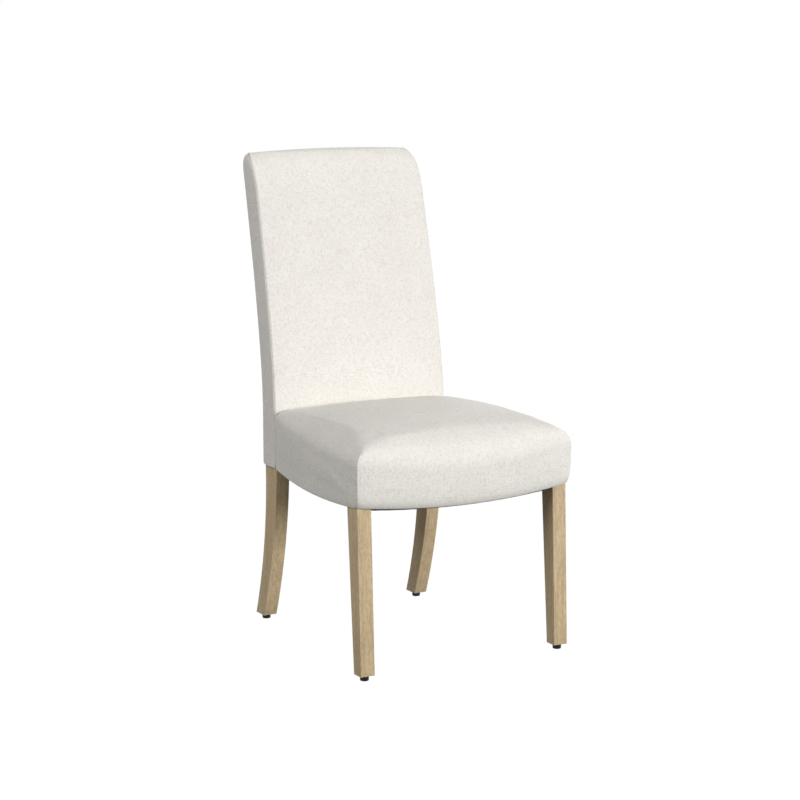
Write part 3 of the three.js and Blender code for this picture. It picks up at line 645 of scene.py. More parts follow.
def makeSeatSkin(name, inset):
    mesh = bmesh.new()
    seamRun = mesh.verts.layers.float.new("seamRun")
    us = edgeShares(seatFrontHalf)
    vs = edgeShares(seatHalfDepth)
    middleScale = 1 - rollAt(1, 1)[0]

    def topPlace(u, v):
        reach = max(abs(u), abs(v))
        if reach < mergeDistance:
            return seatPlace(0, 0, 1, inset)
        a, b = u / reach, v / reach
        edgeScale = cornerScale(a, b, seat["topCorner"]) * (1 - rollAt(a, b)[0])
        scale = mix(middleScale, edgeScale, reach * reach)
        return seatPlace(u * scale, v * scale, 1, inset)

    top = addGrid(mesh, [[topPlace(u, v) for u in us] for v in vs])
    lastU, lastV = len(us) - 1, len(vs) - 1
    border = [(i, lastV) for i in range(lastU)] + [(lastU, j) for j in range(lastV, 0, -1)]
    border += [(i, 0) for i in range(lastU, 0, -1)] + [(0, j) for j in range(lastV)]
    previous = [top[j][i] for i, j in border]
    for vertex in mesh.verts:
        vertex[seamRun] = 1.0
    for rise, rollShare, sharpness, hem in seatRings():
        current = []
        for i, j in border:
            a, b = us[i], vs[j]
            corner = seat["rearCorner"] if b < 0 and sharpness == seat["wallCorner"] else sharpness
            scale = cornerScale(a, b, corner) * (1 - rollAt(a, b)[0] * rollShare - hem / seatHalfDepth)
            level = ringRise(rise, a, b)
            vertex = mesh.verts.new(seatPlace(a * scale, b * scale, level, inset) + tuckShift(a, b, level))
            run = (1 - abs(a)) * seatFrontHalf if j == lastV else (b - 1) * seatHalfDepth
            vertex[seamRun] = run if b > 0 else 1.0
            current.append(vertex)
        for k in range(len(border)):
            after = (k + 1) % len(border)
            mesh.faces.new((previous[k], previous[after], current[after], current[k]))
        previous = current
    bmesh.ops.recalc_face_normals(mesh, faces=mesh.faces)
    crownFace = max(mesh.faces, key=lambda face: face.calc_center_median().z)
    if crownFace.normal.z < 0:
        bmesh.ops.reverse_faces(mesh, faces=mesh.faces)
    return pieceFrom(name, mesh)


clothFrames = 20
clothSettings = {
    "quality": 6, "mass": 0.3, "tension_stiffness": 30.0, "compression_stiffness": 30.0,
    "shear_stiffness": 30.0, "bending_stiffness": 2.0, "use_pressure": True, "uniform_pressure_force": 4.0,
    "vertex_group_mass": "pinned",
}


def swell(piece, isPinned, cap):  # the cloth swells outwards between its seams, by no more than the cap
    start = [vertex.co.copy() for vertex in piece.data.vertices]
    normals = [vertex.normal.copy() for vertex in piece.data.vertices]
    pinned = piece.vertex_groups.new(name="pinned")
    pinned.add([i for i, place in enumerate(start) if isPinned(place)], 1.0, "REPLACE")
    pick(piece)
    cloth = piece.modifiers.new("cloth", "CLOTH")
    for label, value in clothSettings.items():
        setattr(cloth.settings, label, value)
    cloth.settings.effector_weights.gravity = 0
    cloth.collision_settings.use_collision = False
    cloth.point_cache.frame_start, cloth.point_cache.frame_end = 1, clothFrames
    for number in range(1, clothFrames + 1):
        scene.frame_set(number)
    bpy.ops.object.modifier_apply(modifier=cloth.name)
    scene.frame_set(1)
    for vertex, before, normal in zip(piece.data.vertices, start, normals):
        outwards = max(0.0, (vertex.co - before).dot(normal))
        vertex.co = before + normal * cap * math.tanh(outwards / cap)
    piece.vertex_groups.clear()
    print(piece.name, "swelled")


def addSubdivision(piece):
    modify(piece, "SUBSURF", levels=1, render_levels=1)


def addWall(piece, thickness):
    modify(piece, "SOLIDIFY", thickness=thickness, offset=-1)


def shrink(piece, distance):  # or fatten, where the distance is more than nothing
    with editing(piece):
        bpy.ops.transform.shrink_fatten(value=distance)


def cutRoundLegs(piece, gap):
    for end, side in corners:
        cutter = cleanCopy(f"{end}_leg_{side}", f"cutter_{end}_{side}")
        shrink(cutter, gap)
        modify(piece, "BOOLEAN", operation="DIFFERENCE", solver="MANIFOLD", object=cutter)
        bpy.data.objects.remove(cutter)


# Seat cover: sewn at its two front corners, with a small gather where each seam runs out

coverCloth = {"thickness": 0.0012, "legGap": 0.0004, "crease": 60}
seatCoverLook = {
    "cap": 0.0018, "pinHeight": 0.030, "rearPin": 0.004,
    "lipHeight": 0.0009, "lipPlace": 0.0006, "lipWidth": 0.0019,
    "grooveDepth": 0.0003, "groovePlace": -0.0048, "grooveWidth": 0.0011,
    "seamTop": 0.455, "seamFade": 0.008, "runOutTop": 0.400, "runOutLow": 0.362, "runOutShare": 0.35,
    "gatherPlace": 0.457, "gatherHeight": 0.008, "gatherWidth": 0.006, "gatherPitch": 0.0044,
    "gatherDepth": 0.0014, "gatherLean": 0.55, "reach": 0.030, "fill": 0.95,
}


def seamRelief(run, height):
    look = seatCoverLook
    sewn = smooth(look["seamTop"] + look["seamFade"], look["seamTop"] - look["seamFade"], height)
    lip = math.exp(-((run - look["lipPlace"]) / look["lipWidth"]) ** 2)
    groove = math.exp(-((run - look["groovePlace"]) / look["grooveWidth"]) ** 2)
    lower = mix(look["runOutShare"], 1, smooth(look["runOutLow"], look["runOutTop"], height))
    relief = sewn * lower * (look["lipHeight"] * lip - look["grooveDepth"] * groove)
    above = height - look["gatherPlace"]
    window = math.exp(-(above / look["gatherHeight"]) ** 2 - (run / look["gatherWidth"]) ** 2)
    phase = (run - look["gatherLean"] * above) / look["gatherPitch"]
    return relief + window * look["gatherDepth"] * math.cos(2 * math.pi * phase)


def makeSeatCover():
    piece = makeSeatSkin("seat_cover_linen", seatSkin["inset"])
    look = seatCoverLook
    low = seat["bottom"] + look["pinHeight"]
    swell(piece, lambda place: place.z < low or place.y > seatRear - look["rearPin"], look["cap"])
    addSubdivision(piece)
    runs = [item.value for item in piece.data.attributes["seamRun"].data]
    normals = [vertex.normal.copy() for vertex in piece.data.vertices]
    for vertex, run, normal in zip(piece.data.vertices, runs, normals):
        if abs(run) < look["reach"]:
            vertex.co += normal * seamRelief(run, vertex.co.z)
    piece.data.attributes.remove(piece.data.attributes["seamRun"])
    addWall(piece, coverCloth["thickness"])
    cutRoundLegs(piece, coverCloth["legGap"])
    dress(piece, "linen", coverCloth["crease"], "chair_frame", "seat_cover")


makeSeatCover()
print("seat cover made")

# Back form: a bent slab, upright at the seat, that leans back above it and rolls over at the top

back = {
    "thickness": 0.058 - clothSlim, "top": 1.0042, "arch": 0.0058, "archHeight": 0.1242,
    "bendRise": 0.023, "bendDrop": 0.0452, "bendControlShare": 0.2485, "bendRun": 0.0936,
    "taper": 0.0075, "taperHeight": 0.5242, "cornerWidth": 0.010, "cornerHeight": 0.040,
    "frontRollDepth": 0.045, "frontRollHeight": 0.078, "rearRollDepth": 0.0146, "rearRollHeight": 0.025,
    "shoulderRise": 0.014, "bottom": 0.349,
}
backMiddle = backFront + back["thickness"] / 2
shoulder = railTop + back["shoulderRise"]
bendStart = shoulder + back["bendRise"]
bendEnd = back["top"] - back["bendDrop"]
bendControl = mix(bendStart, bendEnd, back["bendControlShare"])


def backLine(z):  # the slab's middle line
    if z <= bendStart:
        return backMiddle
    if z >= bendEnd:
        return backMiddle + back["bendRun"] + (z - bendEnd) * back["bendRun"] / (bendEnd - bendControl)
    a = bendStart - 2 * bendControl + bendEnd
    b = 2 * (bendControl - bendStart)
    share = (math.sqrt(b * b - 4 * a * (bendStart - z)) - b) / (2 * a)
    return backMiddle + back["bendRun"] * share ** 2


def quarter(depth, height, rise):  # how far a quarter of an ellipse has drawn in at this rise
    return depth * (1 - math.sqrt(1 - clamp(rise / height) ** 2))


def drawnIn(z, depth, height):  # by a roll that ends at the top of the back
    return quarter(depth, height, z - back["top"] + height)


def backHalfAt(z):
    taper = back["taper"] * clamp((z - back["top"] + back["taperHeight"]) / back["taperHeight"])
    return backHalf - taper - drawnIn(z, back["cornerWidth"], back["cornerHeight"])


def frontOfBack(z):
    return backLine(z) - back["thickness"] / 2 + drawnIn(z, back["frontRollDepth"], back["frontRollHeight"])


def rearOfBack(z):
    return backLine(z) + back["thickness"] / 2 - drawnIn(z, back["rearRollDepth"], back["rearRollHeight"])


def rollHeights(height, count):
    return [back["top"] - height + height * math.sin(angle) for angle in arcSteps(count)]


def archLift(x, z):
    up = clamp((z - back["top"] + back["archHeight"]) / back["archHeight"])
    return belly(back["arch"], x / backHalfAt(min(z, back["top"]))) * up * up


# A profile is a list of (y, z, inward y, inward z).
def withInward(points):
    profile = []
    for i, (y, z) in enumerate(points):
        y0, z0 = points[max(i - 1, 0)]
        y1, z1 = points[min(i + 1, len(points) - 1)]
        length = math.hypot(y1 - y0, z1 - z0)
        profile.append((y, z, (z1 - z0) / length, -(y1 - y0) / length))
    return profile


# Each cover's edge folds over a small radius and runs in beside its neighbour's.
seam = {"radius": 0.0014, "gap": -0.0004, "turn": math.radians(135), "turnSteps": 6, "tuck": 0.0035}
pinnedRun = 4 * seam["radius"]  # beside a seam, where the cloth doesn't swell
seamInset = (2 * seam["radius"] + seam["gap"]) / math.sqrt(2)
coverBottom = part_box("back_front_cover")[0].z
backSkin = {
    "spacing": 0.009, "nearEdge": (0.0008, 0.0015, 0.0022, 0.0032, 0.0055), "rollSteps": 12,
    "rearRollSteps": 7, "ridgePlace": 0.0015, "ridgeWidth": 0.0011, "ridgeHeight": 0.0009, "cap": 0.0025,
    "sidePillow": 0.0012, "pillowPower": 0.7, "pillowDepth": 0.030, "cornerCut": 0.006, "cornerSteps": 5,
    "cornerWidth": 0.011, "cornerHeight": 0.033, "hemGap": 0.0002, "hemBlend": 0.002, "fill": 1.0,
}


def lipSection():  # (distance from the neighbour's face, depth) from the flat to the end of the tuck
    radius, turn = seam["radius"], seam["turn"]
    section = [(seamInset + radius * (1 - math.sin(angle)), radius * (1 - math.cos(angle)))
               for angle in arcSteps(seam["turnSteps"], turn)]
    inset, depth = section[-1]
    return section + [(inset - seam["tuck"] * math.cos(turn), depth + seam["tuck"] * math.sin(turn))]


def acrossRows(profile):  # rows across the back, with a lip at each side
    lip = lipSection()
    flatHalf = backHalf - lip[0][0]
    near = backSkin["nearEdge"]
    inner = flatHalf - near[-1]
    count = round(2 * inner / backSkin["spacing"])
    shares = [-1 + offset / flatHalf for offset in near[:-1]]
    shares += [place / flatHalf for place in steps(-inner, inner, count)]
    shares += [1 - offset / flatHalf for offset in near[-2::-1]]
    rows = []
    for y, z, inY, inZ in profile:
        half = backHalfAt(min(z, back["top"]))
        across = [(-half + inset, depth) for inset, depth in lip[::-1]]
        across += [(share * (half - lip[0][0]), -seamRidge((1 - abs(share)) * flatHalf)) for share in shares]
        across += [(half - inset, depth) for inset, depth in lip]
        rows.append([Vector((x, y + inY * depth, z + inZ * depth + archLift(x, z) + cornerLift(x, z)))
                     for x, depth in across])
    return rows


def seamRidge(fromEdge):  # the seam allowance inside lifts the cloth beside the seam
    beside = (fromEdge - backSkin["ridgePlace"]) / backSkin["ridgeWidth"]
    return backSkin["ridgeHeight"] * math.exp(-beside ** 2)


def cornerLift(x, z):  # the lower corners of the rear cover are drawn up a little
    outside = smooth(backHalf - backSkin["cornerWidth"], backHalf, abs(x))
    low = 1 - smooth(back["bottom"], back["bottom"] + backSkin["cornerHeight"], z)
    return backSkin["cornerCut"] * outside * low


def foldedEnd(profile, atEnd):  # the last point's cloth turns in over the seam's radius and is tucked
    y, z, inY, inZ = profile[-1 if atEnd else 0]
    alongY, alongZ = (-inZ, inY) if atEnd else (inZ, -inY)
    folded = []
    for angle in arcSteps(seam["turnSteps"])[1:]:
        out, depth = seam["radius"] * math.sin(angle), seam["radius"] * (1 - math.cos(angle))
        folded.append((y + alongY * out + inY * depth, z + alongZ * out + inZ * depth, inY, inZ))
    lastY, lastZ, inY, inZ = folded[-1]
    folded.append((lastY + inY * seam["tuck"], lastZ + inZ * seam["tuck"], inY, inZ))
    return profile + folded if atEnd else folded[::-1] + profile


seamHeight = back["top"] - back["rearRollHeight"]  # where the front cover meets the rear cover
seamStand = seam["radius"] + seam["gap"] / 2


def frontCoverProfile():
    rollStart = back["top"] - back["frontRollHeight"]
    count = round((rollStart - coverBottom) / backSkin["spacing"])
    front = steps(coverBottom, rollStart, count)
    front += rollHeights(back["frontRollHeight"], backSkin["rollSteps"])[1:]
    rear = rollHeights(back["rearRollHeight"], backSkin["rearRollSteps"])[::-1]
    points = [(frontOfBack(z), z) for z in front] + [(rearOfBack(z), z) for z in rear[:-1]]
    points.append((rearOfBack(seamHeight + seamStand), seamHeight + seamStand))
    return foldedEnd(withInward(points), True)


def rearCoverProfile():
    top = seamHeight - seamStand
    low = back["bottom"] + seam["radius"]
    heights = steps(top, low, round((top - low) / backSkin["spacing"]))
    profile = withInward([(rearOfBack(z), z) for z in heights])
    return foldedEnd(foldedEnd(profile, False), True)


def makeBackCover(name, profile, node, isPinned):
    piece = sheetFromRows(name, acrossRows(profile))
    swell(piece, isPinned, backSkin["cap"])
    finishBackCover(piece, node)


def finishBackCover(piece, node):
    addSubdivision(piece)
    addWall(piece, coverCloth["thickness"])
    dress(piece, "linen", coverCloth["crease"], "chair_frame", node)


def nearSides(place):
    return abs(place.x) > backHalfAt(min(place.z, back["top"])) - seamInset - 2 * seam["radius"]


makeBackCover(
    "back_front_linen", frontCoverProfile(), "back_front_cover",
    lambda place: nearSides(place) or place.z < shoulder + seat["frontRimRise"] / 2
    or (place.y > backLine(place.z) and place.z < seamHeight + pinnedRun))
makeBackCover(
    "back_rear_linen", rearCoverProfile(), "back_rear_cover",
    lambda place: nearSides(place) or place.z > seamHeight - pinnedRun
    or place.z < back["bottom"] + pinnedRun)


def sidePanelRows(sign):
    rollStart = back["top"] - back["frontRollHeight"]
    bottom, cut = back["bottom"] + seam["radius"], backSkin["cornerCut"]
    count = round((rollStart - bottom) / backSkin["spacing"])
    lowHeights = [bottom + cut * math.sin(angle) ** 2 for angle in arcSteps(backSkin["cornerSteps"])][:-1]
    start = bottom + cut
    front = lowHeights + steps(start, rollStart, count)
    front += rollHeights(back["frontRollHeight"], backSkin["rollSteps"])[1:]
    rear = lowHeights + steps(start, back["top"] - back["rearRollHeight"], count)
    rear += rollHeights(back["rearRollHeight"], backSkin["rollSteps"])[1:]
    outline = withInward([(frontOfBack(z), z) for z in front] + [(rearOfBack(z), z) for z in rear[::-1]])
    fronts, rears = outline[:len(front)], outline[len(front):][::-1]
    apexY = (fronts[-1][0] + rears[-1][0]) / 2
    fronts[-1] = rears[-1] = (apexY, back["top"], 0.0, -1.0)
    lip = lipSection()
    columns = round(back["thickness"] / backSkin["spacing"]) + 2
    rows = []
    for (fy, fz, fInY, fInZ), (ry, rz, rInY, rInZ) in zip(fronts, rears):
        closer = seamInset - backSkin["hemGap"]
        closer *= smooth(coverBottom, coverBottom - backSkin["hemBlend"], fz)
        row = [(fy + fInY * (inset - closer), fz + fInZ * (inset - closer), depth)
               for inset, depth in lip[::-1]]
        ry -= quarter(cut, cut, start - rz)
        a = row[-1]
        b = (ry + rInY * lip[0][0], rz + rInZ * lip[0][0])
        pillow = backSkin["sidePillow"] * clamp((b[0] - a[0]) / backSkin["pillowDepth"])
        for share in steps(0, 1, columns)[1:-1]:
            out = pillow * math.sin(math.pi * share) ** backSkin["pillowPower"]
            row.append((mix(a[0], b[0], share), mix(a[1], b[1], share), -out))
        row += [(ry + rInY * inset, rz + rInZ * inset, depth) for inset, depth in lip]
        rows.append(row)
    low = rows[0]
    hem = []
    for angle in arcSteps(seam["turnSteps"])[1:]:
        down, depth = seam["radius"] * math.sin(angle), seam["radius"] * (1 - math.cos(angle))
        hem.append([(y, z - down, inDepth + depth) for y, z, inDepth in low])
    hem.append([(y, z, inDepth + seam["tuck"]) for y, z, inDepth in hem[-1]])
    points = [[Vector((sign * (backHalfAt(min(z, back["top"])) - depth), y, z)) for y, z, depth in row]
              for row in hem[::-1] + rows]
    return points if sign > 0 else [row[::-1] for row in points]


for side, sign in (("left", -1), ("right", 1)):
    finishBackCover(sheetFromRows(f"back_side_linen_{side}", sidePanelRows(sign)), f"back_side_cover_{side}")
print("back covers made")

# Soft fillings, which the covers hide

filling = {
    "edge": 0.0008, "slack": 0.0013, "outerDepth": 0.014, "foamInset": 0.0035, "crease": 40, "fill": 0.9,
}


def seatShares(place):  # across, ahead, and the half width there
    ahead = 2 * (seatRear - place.y) / (seatRear - seatFront) - 1
    half = mix(backHalf, seatFrontHalf, (1 + ahead) / 2) + belly(seat["sideBow"], ahead)
    return place.x / half, ahead, half


def makeFoamBlock(name, base):  # the seat's own form, a little inside its cover and level below
    block = makeSeatSkin(name, filling["foamInset"])
    with editing(block):
        bpy.ops.mesh.bisect(plane_co=(0, 0, base), plane_no=(0, 0, 1), use_fill=True, clear_inner=True)
    return block


def drawIn(block):  # the outer side of the wadding is drawn in with the cover
    for vertex in block.data.vertices:
        across, ahead, half = seatShares(vertex.co)
        depth = min((1 - abs(across)) * half, (1 - ahead) * seatHalfDepth + belly(seat["frontBow"], across))
        rise = (vertex.co.z - lowerEdge(across, ahead)) / (rimRear - seat["bottom"])
        vertex.co += tuckShift(across, ahead, max(rise, 0)) * smooth(filling["outerDepth"], 0, depth)


def fitBack(block):  # the back's foam keeps inside the roll and the corners of its cover
    inset = coverCloth["thickness"] + filling["slack"]
    for vertex in block.data.vertices:
        x, y, z = vertex.co
        z = min(z, back["top"] + archLift(x, back["top"]) - 2 * inset)
        level = z - archLift(x, z) + inset
        half = backHalfAt(level) - 2 * inset
        vertex.co = Vector((min(max(x, -half), half), max(y, frontOfBack(level) + inset), z))


def roundedCopy(nodeName):
    block = cleanCopy(nodeName, nodeName + "_filling")
    modify(block, "BEVEL", width=filling["edge"], limit_method="ANGLE")
    shrink(block, -filling["slack"])
    return block


def finishFilling(block, finish, node):
    dress(block, finish, filling["crease"], "chair_frame", node)


seatFoam = makeFoamBlock("seat_foam_filling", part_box("seat_foam")[0].z + filling["slack"])
finishFilling(seatFoam, "foam", "seat_foam")
wadding = roundedCopy("seat_wadding")
drawIn(wadding)
finishFilling(wadding, "wadding", "seat_wadding")
backFoam = roundedCopy("back_foam")
fitBack(backFoam)
finishFilling(backFoam, "foam", "back_foam")
print("fillings made")

# Legs: sawn square, with softened edges

leg = {"edge": 0.0009, "edgeSegments": 3, "sharpFrom": math.radians(35), "crease": 30}
for end, side in corners:
    nodeName = f"{end}_leg_{side}"
    piece = cleanCopy(nodeName, f"oak_leg_{end}_{side}")
    modify(
        piece, "BEVEL", width=leg["edge"], segments=leg["edgeSegments"], limit_method="ANGLE",
        angle_limit=leg["sharpFrom"])
    dress(piece, "oak", leg["crease"], "chair_frame", nodeName)
print("legs made")

# Dust cover: black cloth under the seat, with its edges turned in and stapled to the rails

dustCloth = {
    "thickness": 0.0006, "inset": 0.020, "rearRun": 0.0408, "drop": 2 * fit, "spacing": 0.005, "sag": 0.003,
    "railWidth": 0.030, "hem": 0.012, "hemStep": 0.0015, "hemHeight": 0.0005, "dimple": 0.0007,
    "dimpleWidth": 0.006, "legGap": 0.001, "crease": 50, "areaShare": 0.93,
}
staple = {
    "crown": 0.0105, "wire": 0.0011, "height": 0.0006, "leg": 0.0022, "edge": 0.0002, "pitch": 0.034,
    "fromEdge": 0.007, "clearOfLegs": 0.045, "crease": 40, "facing": 0.9,
}
dustFront = 1 - dustCloth["inset"] / seatHalfDepth
dustSide = 1 - dustCloth["inset"] / seatFrontHalf
dustWidth = 2 * dustSide * seatFrontHalf
dustEnd = -1 - (legFace + dustCloth["rearRun"] - seatRear) / seatHalfDepth
dustMiddle = (dustFront + dustEnd) / 2
dustLength = (dustFront - dustEnd) * seatHalfDepth
rearLegInner = rearHalf - rearLegWidth


def tautHeight(across, ahead):  # along the rails' lower edges, and stretched flatter between them
    side = min(1, abs(across) / (1 - dustCloth["railWidth"] / seatFrontHalf))
    front = min(1, (1 + ahead) / (2 - dustCloth["railWidth"] / seatHalfDepth))
    frontShare = math.sinh(math.pi * front) / math.sinh(math.pi)
    sideShare = math.cosh(math.pi * side / 2) / math.cosh(math.pi / 2)
    sag = belly(seat["frontSag"], across) * frontShare + belly(seat["sideSag"], ahead) * sideShare
    return seat["bottom"] - sag


def dustPlace(across, ahead):  # on the upper side of the cloth; ahead below -1 is under the rear rail
    place = seatPlace(across * dustSide, max(ahead, -1), 0)
    place.y -= min(0, ahead + 1) * seatHalfDepth
    place.z = tautHeight(across * dustSide, max(ahead, -1)) - dustCloth["drop"]
    return place


def staplePlaces():  # (place, direction) along the four edges
    places = []
    inside = 1 - staple["fromEdge"] / seatFrontHalf
    front = dustFront - staple["fromEdge"] / seatHalfDepth
    rear = dustEnd + staple["fromEdge"] / seatHalfDepth
    free = 1 - staple["clearOfLegs"] / seatFrontHalf
    count = round(2 * free * seatFrontHalf / staple["pitch"])
    runs = [[(share, front) for share in steps(-free, free, count)]]
    runs.append([(share * rearLegInner / frontHalf, rear) for share in steps(-free, free, count)])
    start = 1 - 2 * staple["clearOfLegs"] / seatHalfDepth
    count = round(2 * start * seatHalfDepth / staple["pitch"])
    runs += [[(sign * inside, ahead) for ahead in steps(start, -start, count)] for sign in (-1, 1)]
    for run in runs:
        points = [dustPlace(across, ahead) for across, ahead in run]
        for i, point in enumerate(points):
            places.append((point, points[min(i + 1, len(points) - 1)] - points[max(i - 1, 0)]))
    return places


stapled = staplePlaces()


def clothRelief(place, edge):  # how far below its flat run the cloth's lower side lies
    hem = dustCloth["hemHeight"] * smooth(dustCloth["hem"] + dustCloth["hemStep"], dustCloth["hem"], edge)
    nearest = min((place - point).length for point, direction in stapled)
    return hem - dustCloth["dimple"] * math.exp(-(nearest / dustCloth["dimpleWidth"]) ** 2)


def makeDustCover():
    columns = round(dustWidth / dustCloth["spacing"])
    lines = round(dustLength / dustCloth["spacing"])
    rows = []
    for ahead in steps(dustFront, dustEnd, lines):
        row = []
        for across in steps(-1, 1, columns):
            place = dustPlace(across, ahead)
            along = (ahead - dustMiddle) / (dustFront - dustMiddle)
            edge = min((1 - abs(across)) * dustWidth, (1 - abs(along)) * dustLength) / 2
            place.z -= dustCloth["sag"] * belly(1, across) * belly(1, along)
            place.z -= clothRelief(place, edge)
            row.append(place)
        rows.append(row)
    piece = sheetFromRows("dust_cover_cloth", rows)
    if piece.data.polygons[0].normal.z > 0:
        piece.data.flip_normals()
    addWall(piece, -dustCloth["thickness"])
    cutRoundLegs(piece, dustCloth["legGap"])
    dress(piece, "dust_cloth", dustCloth["crease"], "chair_frame", "dust_cover")


def makeStaples():  # one bent from a flat bar, and its copies
    deselectAll()
    bpy.ops.mesh.primitive_cube_add(size=1, location=(0, 0, -staple["height"] / 2))
    first = bpy.context.object
    first.scale = (staple["crown"], staple["wire"], staple["height"])
    settle(first)
    inner = staple["crown"] / 2 - staple["wire"]
    for place in (-inner, inner):
        with editing(first):
            bpy.ops.mesh.bisect(plane_co=(place, 0, 0), plane_no=(1, 0, 0))
    pickFaces(first, lambda face: face.normal.z > staple["facing"] and abs(face.center.x) > inner)
    bpy.ops.mesh.extrude_faces_move(TRANSFORM_OT_shrink_fatten={"value": staple["leg"]})
    bpy.ops.object.mode_set(mode="OBJECT")
    modify(first, "BEVEL", width=staple["edge"])
    lift = Vector((0, 0, dustCloth["thickness"] + dustCloth["hemHeight"] - dustCloth["dimple"]))
    copies = []
    for place, direction in stapled:
        copy = first.copy()
        copy.data = first.data.copy()
        scene.collection.objects.link(copy)
        copy.location = place - lift
        copy.rotation_euler = direction.to_track_quat("X", "Z").to_euler()
        copies.append(copy)
    pick(copies[0])
    for copy in copies:
        copy.select_set(True)
    bpy.ops.object.join()
    bpy.data.objects.remove(first)
    joined = bpy.context.object
    joined.name = "dust_cover_staples"
    settle(joined)
    dress(joined, "steel", staple["crease"], "chair_frame")


def pickFaces(piece, wanted):  # leaves the piece in edit mode with these faces selected
    pick(piece)
    bpy.ops.object.mode_set(mode="EDIT")
    bpy.ops.mesh.select_mode(type="FACE")
    bpy.ops.mesh.select_all(action="DESELECT")
    bpy.ops.object.mode_set(mode="OBJECT")
    for face in piece.data.polygons:
        face.select = wanted(face)
    bpy.ops.object.mode_set(mode="EDIT")


makeDustCover()
makeStaples()
print("dust cover made")

# Feet: a moulded pad that stays on the floor, and a steel stem with a rolled thread that turns in it

pad = {
    "sides": 64, "radius": 0.009, "height": 0.0084, "edge": 0.0018, "edgeSteps": 6, "shoulder": 0.0012,
    "recess": 0.0004, "recessRadius": 0.0052, "mouth": 0.0045, "mouthEdge": 0.0003, "lip": 0.0012,
    "socket": 0.0056, "socketDepth": 0.0034, "crease": 30,
}
stem = {
    "sides": 40, "head": 0.0051, "headHeight": 0.0028, "headEdge": 0.0004, "neck": 0.0039,
    "collarFlats": 0.013, "collarHeight": 0.002, "collarEdge": 0.00035, "collarSegments": 2,
    "core": 0.0033, "length": 0.024, "chamfer": 0.0008, "threadRadius": 0.00394, "pitch": 0.00125,
    "crest": 0.00016, "root": 0.00105, "turns": 16, "turnSteps": 32, "runOut": 0.0015,
    "mergeDistance": 1e-7, "crease": 30,
}


def drawnUp(name, place, sides, profile):  # a round piece drawn ring by ring through (radius, height)
    deselectAll()
    start = (place.x, place.y, profile[0][1])
    bpy.ops.mesh.primitive_circle_add(vertices=sides, radius=profile[0][0], fill_type="NGON", location=start)
    piece = bpy.context.object
    piece.name = name
    settle(piece)
    with editing(piece):
        for (radius, height), (nextRadius, nextHeight) in zip(profile, profile[1:]):
            bpy.ops.mesh.extrude_region_move(TRANSFORM_OT_translate={"value": (0, 0, nextHeight - height)})
            ratio = nextRadius / radius
            bpy.ops.transform.resize(value=(ratio, ratio, 1), center_override=(place.x, place.y, nextHeight))
        bpy.ops.mesh.select_all(action="SELECT")
        bpy.ops.mesh.normals_make_consistent(inside=False)
    return piece


def padProfile():
    radius, height, edge, shoulder = pad["radius"], pad["height"], pad["edge"], pad["shoulder"]
    angles = arcSteps(pad["edgeSteps"])
    profile = [(pad["recessRadius"], pad["recess"]), (pad["recessRadius"] + pad["recess"], 0)]
    profile += [(radius - edge + edge * math.sin(a), edge - edge * math.cos(a)) for a in angles]
    profile += [(radius - shoulder * (1 - math.cos(a)), height - shoulder * (1 - math.sin(a)))
                for a in angles]
    profile += [(pad["mouth"] + pad["mouthEdge"], height), (pad["mouth"], height - pad["mouthEdge"])]
    under = height - pad["lip"]
    profile += [(pad["mouth"], under), (pad["socket"], under), (pad["socket"], under - pad["socketDepth"])]
    return profile


def makeStem(name, place):
    headTop = pad["height"] - pad["lip"] - fit
    low = headTop - stem["headHeight"]
    collar = pad["height"] + fit
    shaft = collar + stem["collarHeight"]
    tip = shaft + stem["length"]
    head, edge, neck, core = stem["head"], stem["headEdge"], stem["neck"], stem["core"]
    rod = drawnUp(name, place, stem["sides"], [
        (head - edge, low), (head, low + edge), (head, headTop - edge), (head - edge, headTop),
        (neck, headTop), (neck, shaft + stem["runOut"] / 2), (core, shaft + stem["runOut"]),
        (core, tip - stem["chamfer"]), (core - stem["chamfer"], tip),
    ])
    bpy.ops.mesh.primitive_cylinder_add(
        vertices=6, radius=stem["collarFlats"] / math.sqrt(3), depth=stem["collarHeight"],
        location=(place.x, place.y, collar + stem["collarHeight"] / 2), rotation=(0, 0, math.pi / 6))
    collarPiece = bpy.context.object
    settle(collarPiece)
    modify(collarPiece, "BEVEL", width=stem["collarEdge"], segments=stem["collarSegments"])
    thread = makeThread(place, shaft + stem["runOut"])
    pick(rod)
    collarPiece.select_set(True)
    thread.select_set(True)
    bpy.ops.object.join()
    return bpy.context.object


def makeThread(place, low):  # one tooth section, wound up round the stem
    deselectAll()
    bpy.ops.mesh.primitive_plane_add(size=1, rotation=(math.pi / 2, 0, 0))
    tooth = bpy.context.object
    deep = stem["core"] - 2 * stem["crest"]
    tooth.scale = (stem["threadRadius"] - deep, stem["root"], 1)
    settle(tooth)
    for vertex in tooth.data.vertices:
        outer = vertex.co.x > 0
        vertex.co.x = stem["threadRadius"] if outer else deep
        vertex.co.z = math.copysign((stem["crest"] if outer else stem["root"]) / 2, vertex.co.z)
    with editing(tooth):
        bpy.ops.mesh.delete(type="ONLY_FACE")
    tooth.location = (place.x, place.y, low)
    modify(
        tooth, "SCREW", angle=2 * math.pi, screw_offset=stem["pitch"], iterations=stem["turns"],
        steps=stem["turnSteps"], render_steps=stem["turnSteps"])
    with editing(tooth):
        bpy.ops.mesh.remove_doubles(threshold=stem["mergeDistance"])
        bpy.ops.mesh.fill_holes(sides=4)
        bpy.ops.mesh.normals_make_consistent(inside=False)
    settle(tooth)
    return tooth


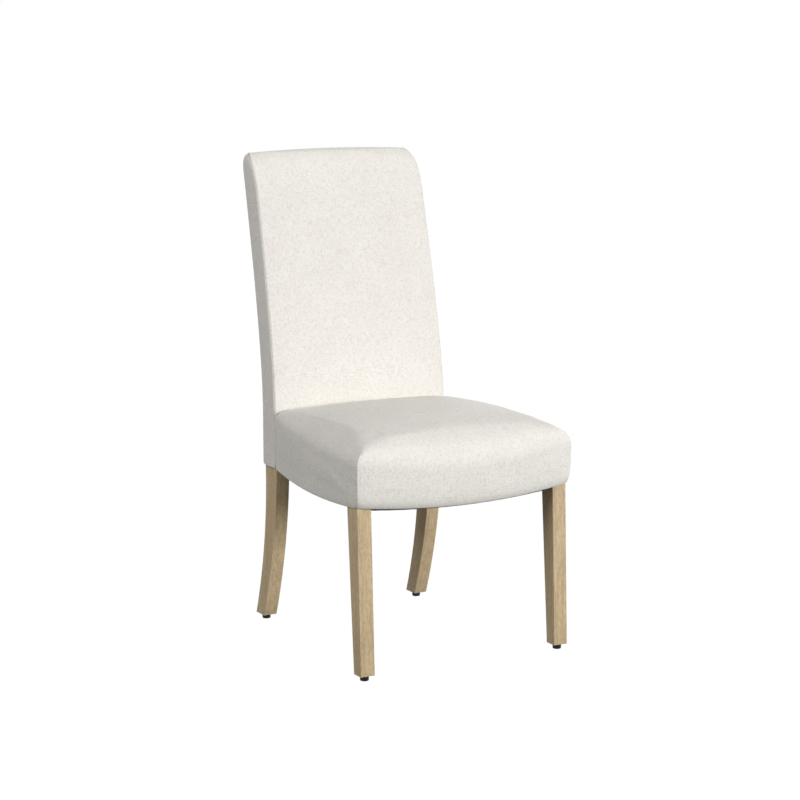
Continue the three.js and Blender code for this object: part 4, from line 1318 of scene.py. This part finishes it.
for end, side in corners:
    low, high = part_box(f"foot_pad_{end}_{side}")
    place = (low + high) / 2
    piece = drawnUp(f"moulded_pad_{end}_{side}", place, pad["sides"], padProfile())
    dress(piece, "black_plastic", pad["crease"], f"pad_{end}_{side}", f"foot_pad_{end}_{side}")
    piece = makeStem(f"threaded_stem_{end}_{side}", place)
    dress(piece, "steel", stem["crease"], f"stem_{end}_{side}", f"foot_stem_{end}_{side}")
print("feet made")

# Floor, background and lamps

stage = {"size": 30.0, "floorShade": 0.09, "shadowShare": 0.12, "glow": 1.13, "ambient": 0.32}


def seenDirectly(tree):  # 1 for what the camera, gloss or glass sees
    path = newNode(tree, "LightPath").outputs
    direct = maths(tree, "MAXIMUM", path["Is Camera Ray"], path["Is Glossy Ray"])
    return maths(tree, "MAXIMUM", direct, path["Is Transmission Ray"])


def makeFloor():
    bpy.ops.mesh.primitive_plane_add(size=stage["size"], location=(0, 0, 0))
    floor = bpy.context.object
    floor.name = "floor"
    grey = stage["floorShade"]
    material, tree = newMaterial("pale floor", 1.0, **{"Base Color": colour(grey, grey, grey)})
    lit = tree.nodes["Principled BSDF"].outputs[0]
    glow = newNode(tree, "Emission")
    glow.inputs["Strength"].default_value = stage["glow"]
    share = maths(tree, "MULTIPLY", seenDirectly(tree), 1 - stage["shadowShare"])
    above = newNode(tree, "MixShader", share, lit, glow.outputs[0]).outputs[0]
    isBelow = newNode(tree, "NewGeometry").outputs["Backfacing"]  # from there, the floor is clear
    clear = newNode(tree, "BsdfTransparent").outputs[0]
    seen = newNode(tree, "MixShader", isBelow, above, clear).outputs[0]
    feed(tree, tree.nodes["Material Output"].inputs["Surface"], seen)
    floor.data.materials.append(material)


def makeWorld():
    world = bpy.data.worlds.new("studio")
    world.use_nodes = True
    tree = world.node_tree
    background = tree.nodes["Background"].inputs
    background["Color"].default_value = colour(1, 1, 1)
    feed(tree, background["Strength"], between(tree, seenDirectly(tree), 0.0, 1.0, stage["ambient"], 1.0))
    scene.world = world


lamps = {
    "key": {"place": (5.18, -8.98, 2.70), "width": 4.0, "height": 2.4, "power": 900.0},
    "fill": {"place": (-6.38, -2.07, 4.86), "width": 3.4, "height": 3.4, "power": 225.0},
    "rear": {"place": (3.0, 7.0, 1.6), "width": 3.0, "height": 2.0, "power": 200.0},
}


def makeLamps():
    for name, lamp in lamps.items():
        bpy.ops.object.light_add(type="AREA", location=lamp["place"])
        made = bpy.context.object
        made.name = name
        made.data.shape = "RECTANGLE"
        made.data.size = lamp["width"]
        made.data.size_y = lamp["height"]
        made.data.energy = lamp["power"]
        towards = Vector(camera["target"]) - Vector(lamp["place"])
        made.rotation_euler = towards.to_track_quat("-Z", "Y").to_euler()


makeFloor()
makeWorld()
makeLamps()
scene.view_settings.view_transform = "Standard"
print("stage and lamps made")
